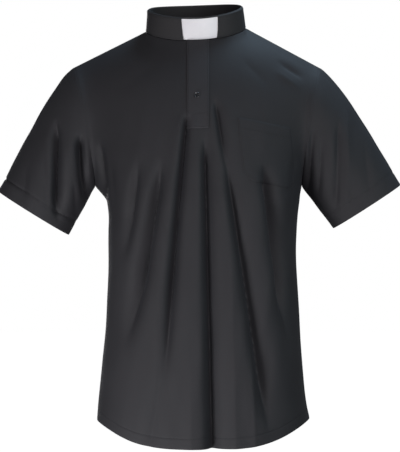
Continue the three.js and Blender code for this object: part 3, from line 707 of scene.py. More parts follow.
# %% Fold surfaces
BLUNT = 2.3
STEEPNESS = 1.5
SWELL_REACH = 3.0
SWELL_SHARE = 0.3
NARROW_POWER = 0.7
WRINKLE = 0.4
WAVES = 14
WAVE_ACROSS = 34.0
WAVE_DOWN = 110.0


def fold_height(points, table):
    """Sum over the folds of minus depth times a valley, which falls off exponentially from a
    bottom that is rounded over a blunt width, less a broad bell-shaped swell, times a smooth
    fade at both ends. The line may bow sideways by half a sine wave. A lean makes one wall
    steeper and the other broader. Where a fold is narrow it is shallow too."""
    x, z = points[..., 0], points[..., 2]
    height = np.zeros_like(x)
    for x0, z0, x1, z1, bow, top_width, foot_width, lean, depth, start, end in table:
        length = math.hypot(x1 - x0, z1 - z0)
        east, north = (x1 - x0) / length, (z1 - z0) / length
        along = (x - x0) * east + (z - z0) * north
        share = np.clip(along / length, 0, 1)
        aside = (z - z0) * east - (x - x0) * north - bow * np.sin(math.pi * share)
        width = mix(top_width, foot_width, share)
        s = aside / width
        s = s * np.where(s < 0, 1 + lean, 1 - lean)
        fade = smoothstep(along, 0, start) * smoothstep(length - along, 0, end)
        blunt = BLUNT / width
        valley = np.exp(-STEEPNESS * (np.hypot(s, blunt) - blunt))
        swell = np.exp(-((s / SWELL_REACH) ** 2))
        shallow = (width / max(top_width, foot_width)) ** NARROW_POWER
        height -= depth * shallow * fade * (valley - SWELL_SHARE * swell)
    return height


def wrinkles(points, seed):
    """Random waves: a sum of sines in x and z with drawn directions, lengths and phases."""
    draw = np.random.default_rng(seed)
    total = np.zeros(points.shape[:2])
    for _ in range(WAVES):
        wave_x = 2 * math.pi / (WAVE_ACROSS * draw.uniform(0.8, 2.6)) * draw.choice([-1, 1])
        wave_z = 2 * math.pi / (WAVE_DOWN * draw.uniform(0.7, 2.5))
        phase = draw.uniform(0, 2 * math.pi)
        total += np.sin(points[..., 0] * wave_x + points[..., 2] * wave_z + phase)
    return WRINKLE * (total / math.sqrt(WAVES))


def lengths(points, axis):
    """Distance along the grid lines from the first row or column, and to the last."""
    step = np.linalg.norm(np.diff(points, axis=axis), axis=2)
    start = np.zeros_like(np.take(step, [0], axis=axis))
    run = np.concatenate([start, np.cumsum(step, axis=axis)], axis=axis)
    return run, np.take(run, [-1], axis=axis) - run


def finish_panel(points, row_stops, column_stops, closed=False):
    """A panel as a dictionary: points, normals, grid stops and cloth places in millimetres."""
    across, _ = lengths(points, 1)
    down, to_end = lengths(points, 0)
    middle = across.shape[1] // 2
    u = across - across[:, middle : middle + 1]
    return {
        "points": points,
        "normals": grid_normals(points, closed),
        "rows": np.asarray(row_stops),
        "columns": np.asarray(column_stops),
        "u": u,
        "v": down,
        "to_end": to_end,
        "closed": closed,
    }


# %% [markdown]
# ## From a surface to cloth
#
# Cloth has a thickness that shows at every free edge, so each panel becomes a closed shell:
# the outer face, an inner face a cloth's thickness behind it, and a rim on each free edge.
# A Solidify modifier makes such a shell of one thickness. Here the thickness changes from
# place to place, at the hems and edges, so the faces are built as whole arrays, in which cells
# can also be left out for an opening. Edges that are sewn to another panel roll in a little,
# which leaves the fine valley that marks a seam.

# %% Shell builder
SEAM_ROLL = 0.5
SEAM_REACH = 1.3
THIN_EDGE = 0.45
SHARP_ANGLE = math.radians(50)


def edge_roll(distance):
    """How far a sewn edge rolls in at a distance from it: a falling exponential."""
    return SEAM_ROLL * np.exp(-distance / SEAM_REACH)


def shell_arrays(panel, thickness, keep=None):
    """Vertices, quads and UVs of a closed shell round the cells that are kept."""
    points, normals = panel["points"], panel["normals"]
    rows, count = points.shape[:2]
    closed = panel["closed"]
    cells = count if closed else count - 1
    thick = np.broadcast_to(thickness, (rows, count))[..., None]
    inner = points - normals * thick
    vertices = np.concatenate([points.reshape(-1, 3), inner.reshape(-1, 3)])
    shift = rows * count
    keep = np.ones((rows - 1, cells), bool) if keep is None else keep
    row, column = np.nonzero(keep)
    after = (column + 1) % count
    a, b = row * count + column, (row + 1) * count + column
    c, d = (row + 1) * count + after, row * count + after
    u, v = panel["u"], panel["v"]
    if closed:
        seam = u[:, -1:] + np.linalg.norm(points[:, :1] - points[:, -1:], axis=2)
        u, v = np.hstack([u, seam]), np.hstack([v, v[:, :1]])
    place = np.stack([u, v], axis=-1)
    uv_a, uv_b = place[row, column], place[row + 1, column]
    uv_c, uv_d = place[row + 1, column + 1], place[row, column + 1]
    padded = np.pad(keep, 1)
    if closed:
        padded[1:-1, 0], padded[1:-1, -1] = keep[:, -1], keep[:, 0]
    up, down = ~padded[:-2, 1:-1][keep], ~padded[2:, 1:-1][keep]
    before, beyond = ~padded[1:-1, :-2][keep], ~padded[1:-1, 2:][keep]
    groups = [
        ((a, b, c, d), (uv_a, uv_b, uv_c, uv_d), None),
        ((shift + a, shift + d, shift + c, shift + b), (uv_a, uv_d, uv_c, uv_b), None),
        ((d, shift + d, shift + a, a), (uv_d, uv_d, uv_a, uv_a), up),
        ((b, shift + b, shift + c, c), (uv_b, uv_b, uv_c, uv_c), down),
        ((a, shift + a, shift + b, b), (uv_a, uv_a, uv_b, uv_b), before),
        ((c, shift + c, shift + d, d), (uv_c, uv_c, uv_d, uv_d), beyond),
    ]
    quads, places = [], []
    for corners, uvs, mask in groups:
        pick = slice(None) if mask is None else mask
        quads.append(np.stack(corners, axis=1)[pick])
        places.append(np.stack(uvs, axis=1)[pick])
    return vertices, np.concatenate(quads), np.concatenate(places)


def make_mesh(name, vertices, faces, uvs, material):
    """A smooth-shaded mesh object from arrays in millimetres. Unused vertices are dropped."""
    used, faces_flat = np.unique(faces, return_inverse=True)
    faces = faces_flat.reshape(faces.shape)
    sides = faces.shape[1]
    mesh = bpy.data.meshes.new(name)
    mesh.vertices.add(len(used))
    mesh.vertices.foreach_set("co", (vertices[used] * MM).astype(np.float32).ravel())
    mesh.loops.add(faces.size)
    mesh.loops.foreach_set("vertex_index", faces.astype(np.int32).ravel())
    mesh.polygons.add(len(faces))
    mesh.polygons.foreach_set("loop_start", np.arange(0, faces.size, sides, dtype=np.int32))
    mesh.update(calc_edges=True)
    layer = mesh.uv_layers.new(name="cloth")
    layer.data.foreach_set("uv", uvs.astype(np.float32).ravel())
    mesh.polygons.foreach_set("use_smooth", np.ones(len(faces), bool))
    mesh.set_sharp_from_angle(angle=SHARP_ANGLE)
    mesh.materials.append(material)
    piece = bpy.data.objects.new(name, mesh)
    bpy.context.scene.collection.objects.link(piece)
    print(name, "vertices", len(used), "triangles", len(faces) * (sides - 2))
    return piece


def dress(piece, slot, *nodes):
    """The piece rides on the shirt's one body and stands for its solids. The slot is not used."""
    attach(piece, "root")
    if nodes:
        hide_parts(*nodes)
    return piece


# %% [markdown]
# ## Front and back
#
# Both body panels are cut from the same kind of knit and joined at the shoulders and sides.
# The front has a slash down from the neck for the placket. The hem is turned up 18 mm and
# stitched, so that strip is two layers thick, and its stitch line presses a shallow groove.
# The hem could be a second strip of cloth. One thicker wall looks the same, and it has no
# gap to show. The grid has more columns where the long folds run and more rows along the
# stitch line, so that neither looks stepped.

# %% Cloth and hem
CLOTH = 1.3
HEM_CLOTH = 2.6
HEM_STEP = 1.2
EDGE_REACH = 0.8


def groove(to_edge, hem_depth, depth, reach):
    """The stitch line presses a bell-shaped groove along the top of a hem."""
    return depth * np.exp(-(((to_edge - hem_depth) / reach) ** 2))


def thinning(to_edge):
    """How much the outer face draws in towards the fold of a hem: a falling exponential."""
    return THIN_EDGE * np.exp(-to_edge / EDGE_REACH)


def cloth_thickness(panel, hem_depth):
    """The cloth's own thickness, twice that in the turned hem, and less at its rounded edge."""
    hem = smoothstep(hem_depth + 1.0 - panel["to_end"], 0, HEM_STEP)
    return mix(CLOTH, HEM_CLOTH, hem) - 2 * thinning(panel["to_end"])


# %% Front and back
BODY_HEM_DEPTH = 18.0
BODY_GROOVE = {"depth": 0.45, "reach": 1.3}
BODY_ROWS = UPPER_ROWS + LOWER_ROWS
COLUMN_PARTS = 4
FOLD_PARTS = 8
FOLDED_CELLS = {"front": (7, 33), "back": (4, 27)}
# A stop is a place on the coarse grid, counted in its cells from the top or from the left
ROW_STOPS = 148
TOP_STOPS = [0.03, 0.07, 0.13]
HEM_STOPS = np.arange(27.12, 27.52, 0.045)
FOOT_STOPS = [27.95, 27.98]
CALM_EDGE = 32.0
WRINKLE_START = 60
WRINKLE_END = 300


def fine_columns(side):
    """Four stops in a cell, and eight in the cells where the long folds run."""
    first, last = FOLDED_CELLS[side]
    stops = clustered(coarse[side].shape[1] - 1, COLUMN_PARTS)
    plain = stops[(stops < first - 0.01) | (stops > last + 0.01)]
    folded = np.linspace(first, last, (last - first) * FOLD_PARTS + 1)
    return np.sort(np.concatenate([plain, folded]))


def body_surface(side, table, seed):
    """The fine grid of a body panel with its folds, rolled seams and hem groove."""
    column_stops = fine_columns(side)
    even_rows = np.linspace(0, BODY_ROWS, ROW_STOPS)
    row_stops = np.concatenate([even_rows, TOP_STOPS, HEM_STOPS, FOOT_STOPS])
    row_stops = np.unique(np.round(row_stops, STOP_DIGITS))
    points = refine(coarse[side], row_stops, column_stops)
    normals = grid_normals(points)
    from_left, from_right = lengths(points, 1)
    from_top, to_hem = lengths(points, 0)
    near_seam = np.minimum(np.minimum(from_left, from_right), from_top)
    small = wrinkles(points, seed) * smoothstep(from_top, WRINKLE_START, WRINKLE_END)
    height = (fold_height(points, table) + small) * smoothstep(near_seam, 0, CALM_EDGE)
    points = points + normals * height[..., None]
    normals = grid_normals(points)
    dip = edge_roll(near_seam) + groove(to_hem, BODY_HEM_DEPTH, **BODY_GROOVE)
    points = points - normals * (dip + thinning(to_hem))[..., None]
    return finish_panel(points, row_stops, column_stops)


front = body_surface("front", FRONT_FOLDS, seed=3)
back = body_surface("back", BACK_FOLDS, seed=8)

slash_rows = (front["rows"][:-1] + front["rows"][1:]) / 2 < SLASH_ROWS
middle_columns = (front["columns"][:-1] + front["columns"][1:]) / 2
slash_columns = (middle_columns > SLASH_START) & (middle_columns < SLASH_END)
front_keep = ~(slash_rows[:, None] & slash_columns[None, :])

front_shell = shell_arrays(front, cloth_thickness(front, BODY_HEM_DEPTH), front_keep)
back_shell = shell_arrays(back, cloth_thickness(back, BODY_HEM_DEPTH))
front_piece = make_mesh("shirt_front", *front_shell, cloth)
back_piece = make_mesh("shirt_back", *back_shell, cloth)
dress(front_piece, "cloth", "front")
dress(back_piece, "cloth", "back")

# %% [markdown]
# ## Sleeves
#
# A set-in sleeve is a tube. One end is the armhole of the body and the other is the cuff,
# a flattened ring tilted out from the body. A bent cylinder would have to be joined to the
# armhole afterwards. Here each line of the tube is a cubic that starts on the armhole itself,
# leaves it over the shoulder and arrives square to the cuff, so the seam fits, the top is long
# and the underarm short, as in the cut of a real sleeve head.

# %% Sleeve sizes
SLEEVES = {
    "sleeve_right": {"outer": (-347, -275), "inner": (-226, -350), "drop": (-0.86, -0.51), "out": -1},
    "sleeve_left": {"outer": (345, -264), "inner": (229, -339), "drop": (0.86, -0.51), "out": 1},
}
SLEEVE_SEEDS = {"sleeve_right": 5, "sleeve_left": 6}
SLEEVE_GROOVES = {
    "sleeve_right": {"depth": 2.0, "reach": 1.8},
    "sleeve_left": {"depth": 0.7, "reach": 1.8},
}
CUFF_HALF_DEPTH = 54
SLEEVE_FULLNESS = 0.55
SLEEVE_HEM_DEPTH = 25.0
SLEEVE_ROWS = 8
SLEEVE_COLUMNS = 2 * UPPER_ROWS
SLEEVE_ROW_STOPS = 97
CUFF_ROW_STOPS = 13
SLEEVE_PARTS = 9
ARMHOLE_STOPS = [0.03, 0.06, 0.12]
CUFF_STOPS = [-0.16, -0.1, -0.06, -0.03, 0.02, 0.05, 0.08, 0.13, 0.94, 0.97, 0.99]
SLEEVE_CALM = 16.0
SIDE_POWER = 0.7
print("sleeve columns:", SLEEVE_COLUMNS * SLEEVE_PARTS, "and rows down to the hem:", SLEEVE_ROW_STOPS)

# %% Sleeves


def unit(vector):
    """Vectors divided by their lengths."""
    return vector / np.linalg.norm(vector, axis=-1, keepdims=True)


def armhole_ring(out):
    """Down the front edge from the shoulder tip to the armpit, and up the back edge."""
    front_edge = coarse["front"][: UPPER_ROWS + 1, 0 if out < 0 else -1]
    back_edge = coarse["back"][: UPPER_ROWS + 1, -1 if out < 0 else 0]
    return np.concatenate([front_edge, back_edge[-2:0:-1]])


def sleeve_grid(outer, inner, drop, out, row_stops, column_stops):
    """Cubic lines from the armhole ring to the cuff ellipse, with their leaving directions
    turning from the shoulder's slope at the top to the sleeve's axis below. The last unit of
    the row stops is the turned hem, so that its stitch line runs along one row."""
    ring = armhole_ring(out)
    outer_corner = np.array([outer[0], 0, outer[1]], float)
    inner_corner = np.array([inner[0], 0, inner[1]], float)
    centre = (outer_corner + inner_corner) / 2
    arm = outer_corner - centre
    axis = unit(np.array([arm[2] * out, 0, -abs(arm[0])]))
    turn = (2 * math.pi * np.arange(len(ring)) / len(ring))[:, None]
    end = centre + arm * np.cos(turn)
    end[:, 1] = -CUFF_HALF_DEPTH * np.sin(turn[:, 0])
    span = np.linalg.norm(end - ring, axis=1, keepdims=True) * SLEEVE_FULLNESS
    top_direction = unit(np.array([drop[0], 0, drop[1]]))
    leave = unit(mix(top_direction, axis, (1 - np.cos(turn)) / 2))
    hem_share = 1 - SLEEVE_HEM_DEPTH / span
    body_part = np.clip(row_stops / SLEEVE_ROWS, 0, 1)[:, None, None]
    hem_part = np.clip(row_stops - SLEEVE_ROWS, 0, 1)[:, None, None]
    share = hem_share * body_part + (1 - hem_share) * hem_part
    points = cubic(ring, end, leave * span, axis * span, share)
    if out > 0:
        points = np.roll(points[:, ::-1], 1, axis=1)
    return np.einsum("rcx,jc->rjx", points, spline_weights(len(ring), column_stops, closed=True))


def sleeve_folds(name, points, normals):
    """The front table counts where the sleeve faces front, and the back table behind."""
    facing = normals[..., 1]
    in_front = np.clip(-facing, 0, 1) ** SIDE_POWER
    behind = np.clip(facing, 0, 1) ** SIDE_POWER
    height = fold_height(points, SLEEVE_FOLDS[name]) * in_front
    return height + fold_height(points, SLEEVE_BACK_FOLDS[name]) * behind


def sleeve_surface(name):
    """The fine grid of a sleeve with folds in front and behind, rolled seam and hem groove."""
    column_stops = np.linspace(0, SLEEVE_COLUMNS, SLEEVE_COLUMNS * SLEEVE_PARTS + 1)[:-1]
    above_hem = np.linspace(0, SLEEVE_ROWS, SLEEVE_ROW_STOPS)
    in_hem = np.linspace(SLEEVE_ROWS, SLEEVE_ROWS + 1, CUFF_ROW_STOPS)
    near_line = SLEEVE_ROWS + np.array(CUFF_STOPS)
    row_stops = np.concatenate([above_hem, in_hem, ARMHOLE_STOPS, near_line])
    row_stops = np.unique(np.round(row_stops, STOP_DIGITS))
    points = sleeve_grid(**SLEEVES[name], row_stops=row_stops, column_stops=column_stops)
    normals = grid_normals(points, closed=True)
    from_top, _ = lengths(points, 0)
    height = sleeve_folds(name, points, normals) + wrinkles(points, SLEEVE_SEEDS[name])
    height = height * smoothstep(from_top, 0, SLEEVE_CALM)
    points = points + normals * height[..., None]
    normals = grid_normals(points, closed=True)
    from_top, to_cuff = lengths(points, 0)
    dip = edge_roll(from_top) + thinning(to_cuff)
    dip = dip + groove(to_cuff, SLEEVE_HEM_DEPTH, **SLEEVE_GROOVES[name])
    return finish_panel(points - normals * dip[..., None], row_stops, column_stops, closed=True)


sleeves = {name: sleeve_surface(name) for name in SLEEVES}
sleeve_pieces = {}
for name, panel in sleeves.items():
    shell = shell_arrays(panel, cloth_thickness(panel, SLEEVE_HEM_DEPTH))
    sleeve_pieces[name] = dress(make_mesh("shirt_" + name, *shell, cloth), "cloth", name)

# %% [markdown]
# ## Finding places on the front
#
# The placket, pocket and button lie on the front. They could be shrink-wrapped onto it, but
# then nothing says where on the cloth they are. Each is given by its x and z as seen from the
# front, and Newton's method finds the place on the fine grid that is there. A point between
# grid points is a mix of the four round it, moved out along the normal.

# %% Places on a panel
NEWTON_ROUNDS = 30
NEWTON_STEP = 0.05
NEWTON_LIMIT = 0.6


def sample(panel, row, column, lift=0.0):
    """Points between grid points by mixing the four around them, moved out by the lift."""
    i = np.interp(row, panel["rows"], np.arange(len(panel["rows"])))
    j = np.interp(column, panel["columns"], np.arange(len(panel["columns"])))
    i0 = np.clip(np.floor(i).astype(int), 0, len(panel["rows"]) - 2)
    j0 = np.clip(np.floor(j).astype(int), 0, len(panel["columns"]) - 2)
    di, dj = (i - i0)[..., None], (j - j0)[..., None]

    def between(grid):
        upper = mix(grid[i0, j0], grid[i0, j0 + 1], dj)
        return mix(upper, mix(grid[i0 + 1, j0], grid[i0 + 1, j0 + 1], dj), di)

    normals = unit(between(panel["normals"]))
    return between(panel["points"]) + normals * np.asarray(lift)[..., None], normals


def find_place(panel, x, z, row, column):
    """Rows and columns whose points are seen at x and z, by Newton's method on whole arrays."""
    x, z = np.broadcast_arrays(np.asarray(x, float), np.asarray(z, float))
    row, column = np.full(x.shape, float(row)), np.full(x.shape, float(column))
    for _ in range(NEWTON_ROUNDS):
        here = sample(panel, row, column)[0]
        down = (sample(panel, row + NEWTON_STEP, column)[0] - here) / NEWTON_STEP
        along = (sample(panel, row, column + NEWTON_STEP)[0] - here) / NEWTON_STEP
        miss_x, miss_z = x - here[..., 0], z - here[..., 2]
        area = down[..., 0] * along[..., 2] - down[..., 2] * along[..., 0]
        row_move = (miss_x * along[..., 2] - miss_z * along[..., 0]) / area
        column_move = (miss_z * down[..., 0] - miss_x * down[..., 2]) / area
        row = row + np.clip(row_move, -NEWTON_LIMIT, NEWTON_LIMIT)
        column = column + np.clip(column_move, -NEWTON_LIMIT, NEWTON_LIMIT)
    return row, column


def patch(points):
    """A patch's own panel from its points, which already lie clear of what carries it."""
    rows, columns = points.shape[:2]
    return finish_panel(points, np.arange(rows), np.arange(columns))


def edge_distance(panel):
    """Distance from each point of a patch to its nearest free edge."""
    from_left, from_right = lengths(panel["points"], 1)
    from_top, to_foot = lengths(panel["points"], 0)
    return np.minimum(np.minimum(from_left, from_right), np.minimum(from_top, to_foot))


def round_edges(panel, depth, reach):
    """Draws a patch in towards its edges, by a falling exponential, and gives what it drew."""
    dip = depth * np.exp(-edge_distance(panel) / reach)
    panel["points"] = panel["points"] - panel["normals"] * dip[..., None]
    return dip


# %% [markdown]
# ## Placket
#
# A half placket is two strips sewn into the slash. The under strip fills it, and the upper one
# laps over it and is stitched down at its foot with a small box. They could be flat boxes bent
# to the chest. Here their points are the front's own, moved out by a lift, so they keep the
# same small distance to it everywhere. Their edges are rounded where the cloth turns back.

# %% Placket strips
UPPER_LEFT = -21.5
UPPER_RIGHT = 14.5
STRIP_GAP = 0.3
PLACKET_LEVEL = -118
PLACKET_SEARCH = (4, SLASH_START + 1)
UPPER_LIFT = 2.1
UPPER_CLOTH = 1.5
UPPER_FOOT = SLASH_ROWS + 0.1
UNDER_FOOT = SLASH_ROWS - 0.02


def strip_panel(left, right, foot, lift, columns, rows):
    """A strip between two x values, from the neckline to a row of the front."""
    across = np.linspace(left, right, columns)
    stops = find_place(front, across, PLACKET_LEVEL, *PLACKET_SEARCH)[1]
    row, column = np.meshgrid(np.linspace(0, foot, rows), stops, indexing="ij")
    panel = patch(sample(front, row, column, lift)[0])
    round_edges(panel, depth=0.5, reach=0.7)
    return panel


under = strip_panel(SLASH_LEFT + STRIP_GAP, SLASH_RIGHT - STRIP_GAP, UNDER_FOOT, 0.0, 32, 120)
upper = strip_panel(UPPER_LEFT, UPPER_RIGHT, UPPER_FOOT, UPPER_LIFT, 44, 140)
under_piece = make_mesh("placket_under_strip", *shell_arrays(under, CLOTH), placket_cloth)
upper_piece = make_mesh("placket_upper_strip", *shell_arrays(upper, UPPER_CLOTH), placket_cloth)
dress(under_piece, "placket_cloth", "placket_under")
dress(upper_piece, "placket_cloth", "placket_upper")

# %% [markdown]
# ## Pocket
#
# A patch pocket lies on the wearer's left chest. It leans with the cloth under it, its lower
# corners are cut off, and its middle and its mouth stand a hair further off the shirt. It is
# laid on the front in the same way as the placket, because cloth sewn down on cloth takes the
# folds of what is under it.

# %% Pocket
POCKET = {
    "left": 62,
    "top": -154,
    "width": 90,
    "height": 104,
    "slope": -0.18,
    "lean": 0.1,
    "corner": 14,
}
POCKET_SEARCH = (7, 27)
POCKET_LIFT = 1.4
POCKET_SWELL = 0.9
POCKET_CLOTH = 0.9
POCKET_EDGE_DIP = 0.75
POCKET_EDGE_REACH = 1.3
POCKET_EDGE_THINNING = 0.7


def pocket_xz(along, down_share):
    """x and z of the pocket at a distance along its mouth and a share of the way down."""
    cut = np.maximum(POCKET["corner"] - np.minimum(along, POCKET["width"] - along), 0)
    down = down_share * (POCKET["height"] - cut)
    x = POCKET["left"] + along + down * POCKET["lean"]
    return x, POCKET["top"] + along * POCKET["slope"] - down


def pocket_panel():
    """The pocket's grid on the front, swelling a little in the middle and at the mouth."""
    along = np.linspace(0, POCKET["width"], 64)[None, :]
    down_share = np.linspace(0, 1, 70)[:, None]
    x, z = pocket_xz(along, down_share)
    row, column = find_place(front, x, z, *POCKET_SEARCH)
    lower = np.clip(down_share * 0.8 + 0.2, 0, 1)
    swell = np.sin(math.pi * along / POCKET["width"]) * np.sin(math.pi * lower)
    panel = patch(sample(front, row, column, POCKET_LIFT + POCKET_SWELL * swell)[0])
    dip = round_edges(panel, POCKET_EDGE_DIP, POCKET_EDGE_REACH)
    return panel, POCKET_CLOTH - POCKET_EDGE_THINNING * dip


pocket, pocket_thickness = pocket_panel()
pocket_piece = make_mesh("chest_pocket", *shell_arrays(pocket, pocket_thickness), cloth)
dress(pocket_piece, "cloth", "pocket")

# %% [markdown]
# ## Collar and tab
#
# The band collar has two plies, sewn together along the top, where they roll into each other.
# The outer ply stops at each side of a window in front. The white tab is pushed into the gap
# between the plies, and only its middle shows in the window. The window's lower corners are
# rounded by the way the ply is turned under. A hole could be cut in a whole ring with a
# Boolean, but a ply that starts and ends at the window has a clean grid along its edge.

# %% Collar sizes
TAB_TOP_HALF = 31
TAB_FOOT_HALF = 28.5
TAB_BULGE = 0.7
TAB_HIDDEN = 26
TAB_CLOTH = 1.2
TAB_FOOT = 1.2
TAB_TOP = 35.6
WINDOW_CORNER = 3.5
COLLAR_FOOT = 0.2
COLLAR_GAP = 0.3
COLLAR_ROWS = 30
TAB_INSET = COLLAR_CLOTH + COLLAR_GAP
INNER_INSET = TAB_INSET + TAB_CLOTH + COLLAR_GAP
ROLL_HEIGHT = 35.8
ROLL_REACH = 2.3
ROLL_POWER = 1.5
ROLL_TURNS = (0.42, 0.55)
THIN_TOP = 0.55
FOOT_TUCK = 0.6
TUCK_REACH = 0.9

# %% Collar surfaces


def window_half(height):
    """Half width of the window: a straight taper with a slight bulge and rounded low corners."""
    share = height / COLLAR_HEIGHT
    half = mix(TAB_FOOT_HALF, TAB_TOP_HALF, share) + TAB_BULGE * np.sin(math.pi * share)
    low = np.clip(WINDOW_CORNER - height, 0, WINDOW_CORNER)
    return half - (WINDOW_CORNER - np.sqrt(np.maximum(WINDOW_CORNER**2 - low**2, 0)))


def collar_heights(rows, foot=COLLAR_FOOT, top=COLLAR_HEIGHT):
    """Heights from the top down, closer together at both ends."""
    share = (1 - np.cos(np.linspace(0, math.pi, rows))) / 2
    return mix(top, foot, share)[:, None]


def collar_wave(turn, height):
    """A stiffened band is nearly smooth: two slow waves of a third of a millimetre or less."""
    upright = np.sin(math.pi * height / COLLAR_HEIGHT)
    return 0.3 * np.sin(5 * turn + 0.7) * upright + 0.15 * np.sin(11 * turn)


def top_roll(height):
    """0 to 1 over the last stretch of height, where the two plies roll into each other."""
    return smoothstep(height, ROLL_HEIGHT, COLLAR_HEIGHT) ** ROLL_POWER


def outer_ply(columns=420):
    """Turns run from the window's right edge round the back to its left edge."""
    height = collar_heights(COLLAR_ROWS)
    half = window_half(height)
    start, end = turn_at_x(half, height), turn_at_x(-half, height) + 2 * math.pi
    turn = mix(start, end, np.linspace(0, 1, columns)[None, :])
    inset = ROLL_REACH * top_roll(height) + FOOT_TUCK * np.exp(-height / TUCK_REACH)
    return patch(neck_point(turn, height, inset - collar_wave(turn, height)))


def inner_ply(columns=360):
    """A full ring behind the outer ply, rolled out to meet it along the top, away from the
    window."""
    height = collar_heights(COLLAR_ROWS)
    turn = np.linspace(0, 2 * math.pi, columns, endpoint=False)[None, :]
    front_turn = np.abs((turn + math.pi) % (2 * math.pi) - math.pi)
    behind = smoothstep(front_turn, *ROLL_TURNS)
    roll = (INNER_INSET - ROLL_REACH) * top_roll(height) * behind
    points = neck_point(turn, height, INNER_INSET - roll - collar_wave(turn, height))
    return finish_panel(points, np.arange(COLLAR_ROWS), np.arange(columns), closed=True)


def tab_panel(rows=24, columns=120):
    """A flat strip bent round the neck between the plies, hidden at both ends."""
    height = collar_heights(rows, TAB_FOOT, TAB_TOP)
    half = mix(TAB_FOOT_HALF, TAB_TOP_HALF, height / COLLAR_HEIGHT)
    hidden = TAB_HIDDEN / NECK_HALF_WIDTH
    start, end = turn_at_x(-half, height) - hidden, turn_at_x(half, height) + hidden
    turn = mix(start, end, np.linspace(0, 1, columns)[None, :])
    return patch(neck_point(turn, height, TAB_INSET - collar_wave(turn, height)))


# %% Collar pieces
outer, inner, tab = outer_ply(), inner_ply(), tab_panel()
near_top = smoothstep(collar_heights(COLLAR_ROWS), ROLL_HEIGHT, COLLAR_HEIGHT)
outer_shell = shell_arrays(outer, COLLAR_CLOTH * (1 - THIN_TOP * near_top))
outer_piece = make_mesh("collar_outer_ply", *outer_shell, collar_cloth)
inner_piece = make_mesh("collar_inner_ply", *shell_arrays(inner, COLLAR_CLOTH), collar_cloth)
tab_piece = make_mesh("collar_tab_strip", *shell_arrays(tab, TAB_CLOTH), tab_white)
dress(outer_piece, "collar_cloth", "collar_outer")
dress(inner_piece, "collar_cloth", "collar_inner")
dress(tab_piece, "tab", "collar_tab")

# %% [markdown]
# ## Button
#
# A shirt button is turned from resin: a disc with a raised, rounded rim, a dished middle and
# four holes. The profile of rim and dish is a line of radii and heights, smoothed and spun
# round, as on a lathe. A grid can't easily run round four holes, so four rods are cut out of
# it with a Boolean, while it still stands on the origin, where the numbers are most exact.
# The sewing thread crosses the dish in two bars, whose ends dive into the holes.

# %% Button
BUTTON_LEVEL = -118
BUTTON_ACROSS = -5
BUTTON_RADIUS = 5.25
BUTTON_LIFT = UPPER_LIFT + 0.2
HOLE_REACH = 1.5
HOLE_RADIUS = 0.8
BUTTON_SIDES = 64
PROFILE_STEPS = 4
MERGE_REACH = 0.001
BUTTON_PROFILE = [
    # radius as a share, height in millimetres
    (0.0, 1.05),
    (0.25, 1.05),
    (0.5, 1.1),
    (0.62, 1.25),
    (0.7, 1.6),
    (0.8, 1.8),
    (0.9, 1.72),
    (0.97, 1.4),
    (1.0, 0.95),
    (0.97, 0.5),
    (0.88, 0.15),
    (0.6, 0.0),
    (0.0, 0.0),
]
HOLE_PROFILE = [(0.0, 3.0), (1.0, 3.0), (1.0, -1.0), (0.0, -1.0)]


# %% Round parts


def place_on_front(local, point, normal):
    """Local points, with their third number outwards, moved to a point of the front."""
    up = np.array([0.0, 0.0, 1.0])
    sideways = unit(np.cross(up, normal))
    upward = np.cross(normal, sideways)
    return point + local[:, :1] * sideways + local[:, 1:2] * upward + local[:, 2:] * normal


def ring_quads(rings, sides):
    """Quads between neighbouring rings of points, each ring numbered after the one before."""
    ring, side = np.meshgrid(np.arange(rings - 1), np.arange(sides), indexing="ij")
    after = (side + 1) % sides
    here, beyond = ring * sides, (ring + 1) * sides
    quads = np.stack([here + side, beyond + side, beyond + after, here + after], axis=-1)
    return quads.reshape(-1, 4)


def spun(profile, radius, sides):
    """Rings of the profile round an axis, as points and quads. The end rings are points."""
    shares, heights = np.array(profile).T
    turn = np.linspace(0, 2 * math.pi, sides, endpoint=False)
    x = radius * shares[:, None] * np.cos(turn)
    y = radius * shares[:, None] * np.sin(turn)
    z = np.broadcast_to(heights[:, None], x.shape)
    points = np.stack([x, y, z], axis=-1).reshape(-1, 3)
    return points, ring_quads(len(profile), sides)


def local_uv(points, quads):
    """UVs of small parts: the first two numbers of each corner."""
    return points[quads][..., :2]


def merge_doubles(mesh):
    """Closes the poles of a round mesh, where a whole ring lies on one point."""
    edit = bmesh.new()
    edit.from_mesh(mesh)
    bmesh.ops.remove_doubles(edit, verts=edit.verts, dist=MERGE_REACH * MM)
    edit.to_mesh(mesh)
    edit.free()


def cut_holes(piece, cutters):
    """Takes the cutters out of the piece with a Boolean each, keeps the result and drops them."""
    for cutter in cutters:
        cut = piece.modifiers.new("hole", "BOOLEAN")
        cut.operation = "DIFFERENCE"
        cut.solver = "EXACT"
        cut.object = cutter
    solved = piece.evaluated_get(bpy.context.evaluated_depsgraph_get())
    mesh = bpy.data.meshes.new_from_object(solved)
    piece.modifiers.clear()
    piece.data = mesh
    for cutter in cutters:
        bpy.data.objects.remove(cutter)


def button_part(name, profile, radius, centre=(0.0, 0.0)):
    """A spun profile in resin, standing on the origin at a centre."""
    points, quads = spun(profile, radius, BUTTON_SIDES)
    points[:, :2] += centre
    piece = make_mesh(name, points, quads, local_uv(points, quads), button_resin)
    merge_doubles(piece.data)
    return piece


# %% Button with its holes
spans = len(BUTTON_PROFILE) - 1
profile_stops = np.linspace(0, spans, spans * PROFILE_STEPS + 1)
smooth_profile = spline_weights(spans + 1, profile_stops) @ np.array(BUTTON_PROFILE)
button_piece = button_part("placket_button", smooth_profile, BUTTON_RADIUS)
hole_centres = [(x * HOLE_REACH, y * HOLE_REACH) for x in (-1, 1) for y in (-1, 1)]
hole_cutters = [
    button_part("hole_cutter", HOLE_PROFILE, HOLE_RADIUS, centre) for centre in hole_centres
]
cut_holes(button_piece, hole_cutters)

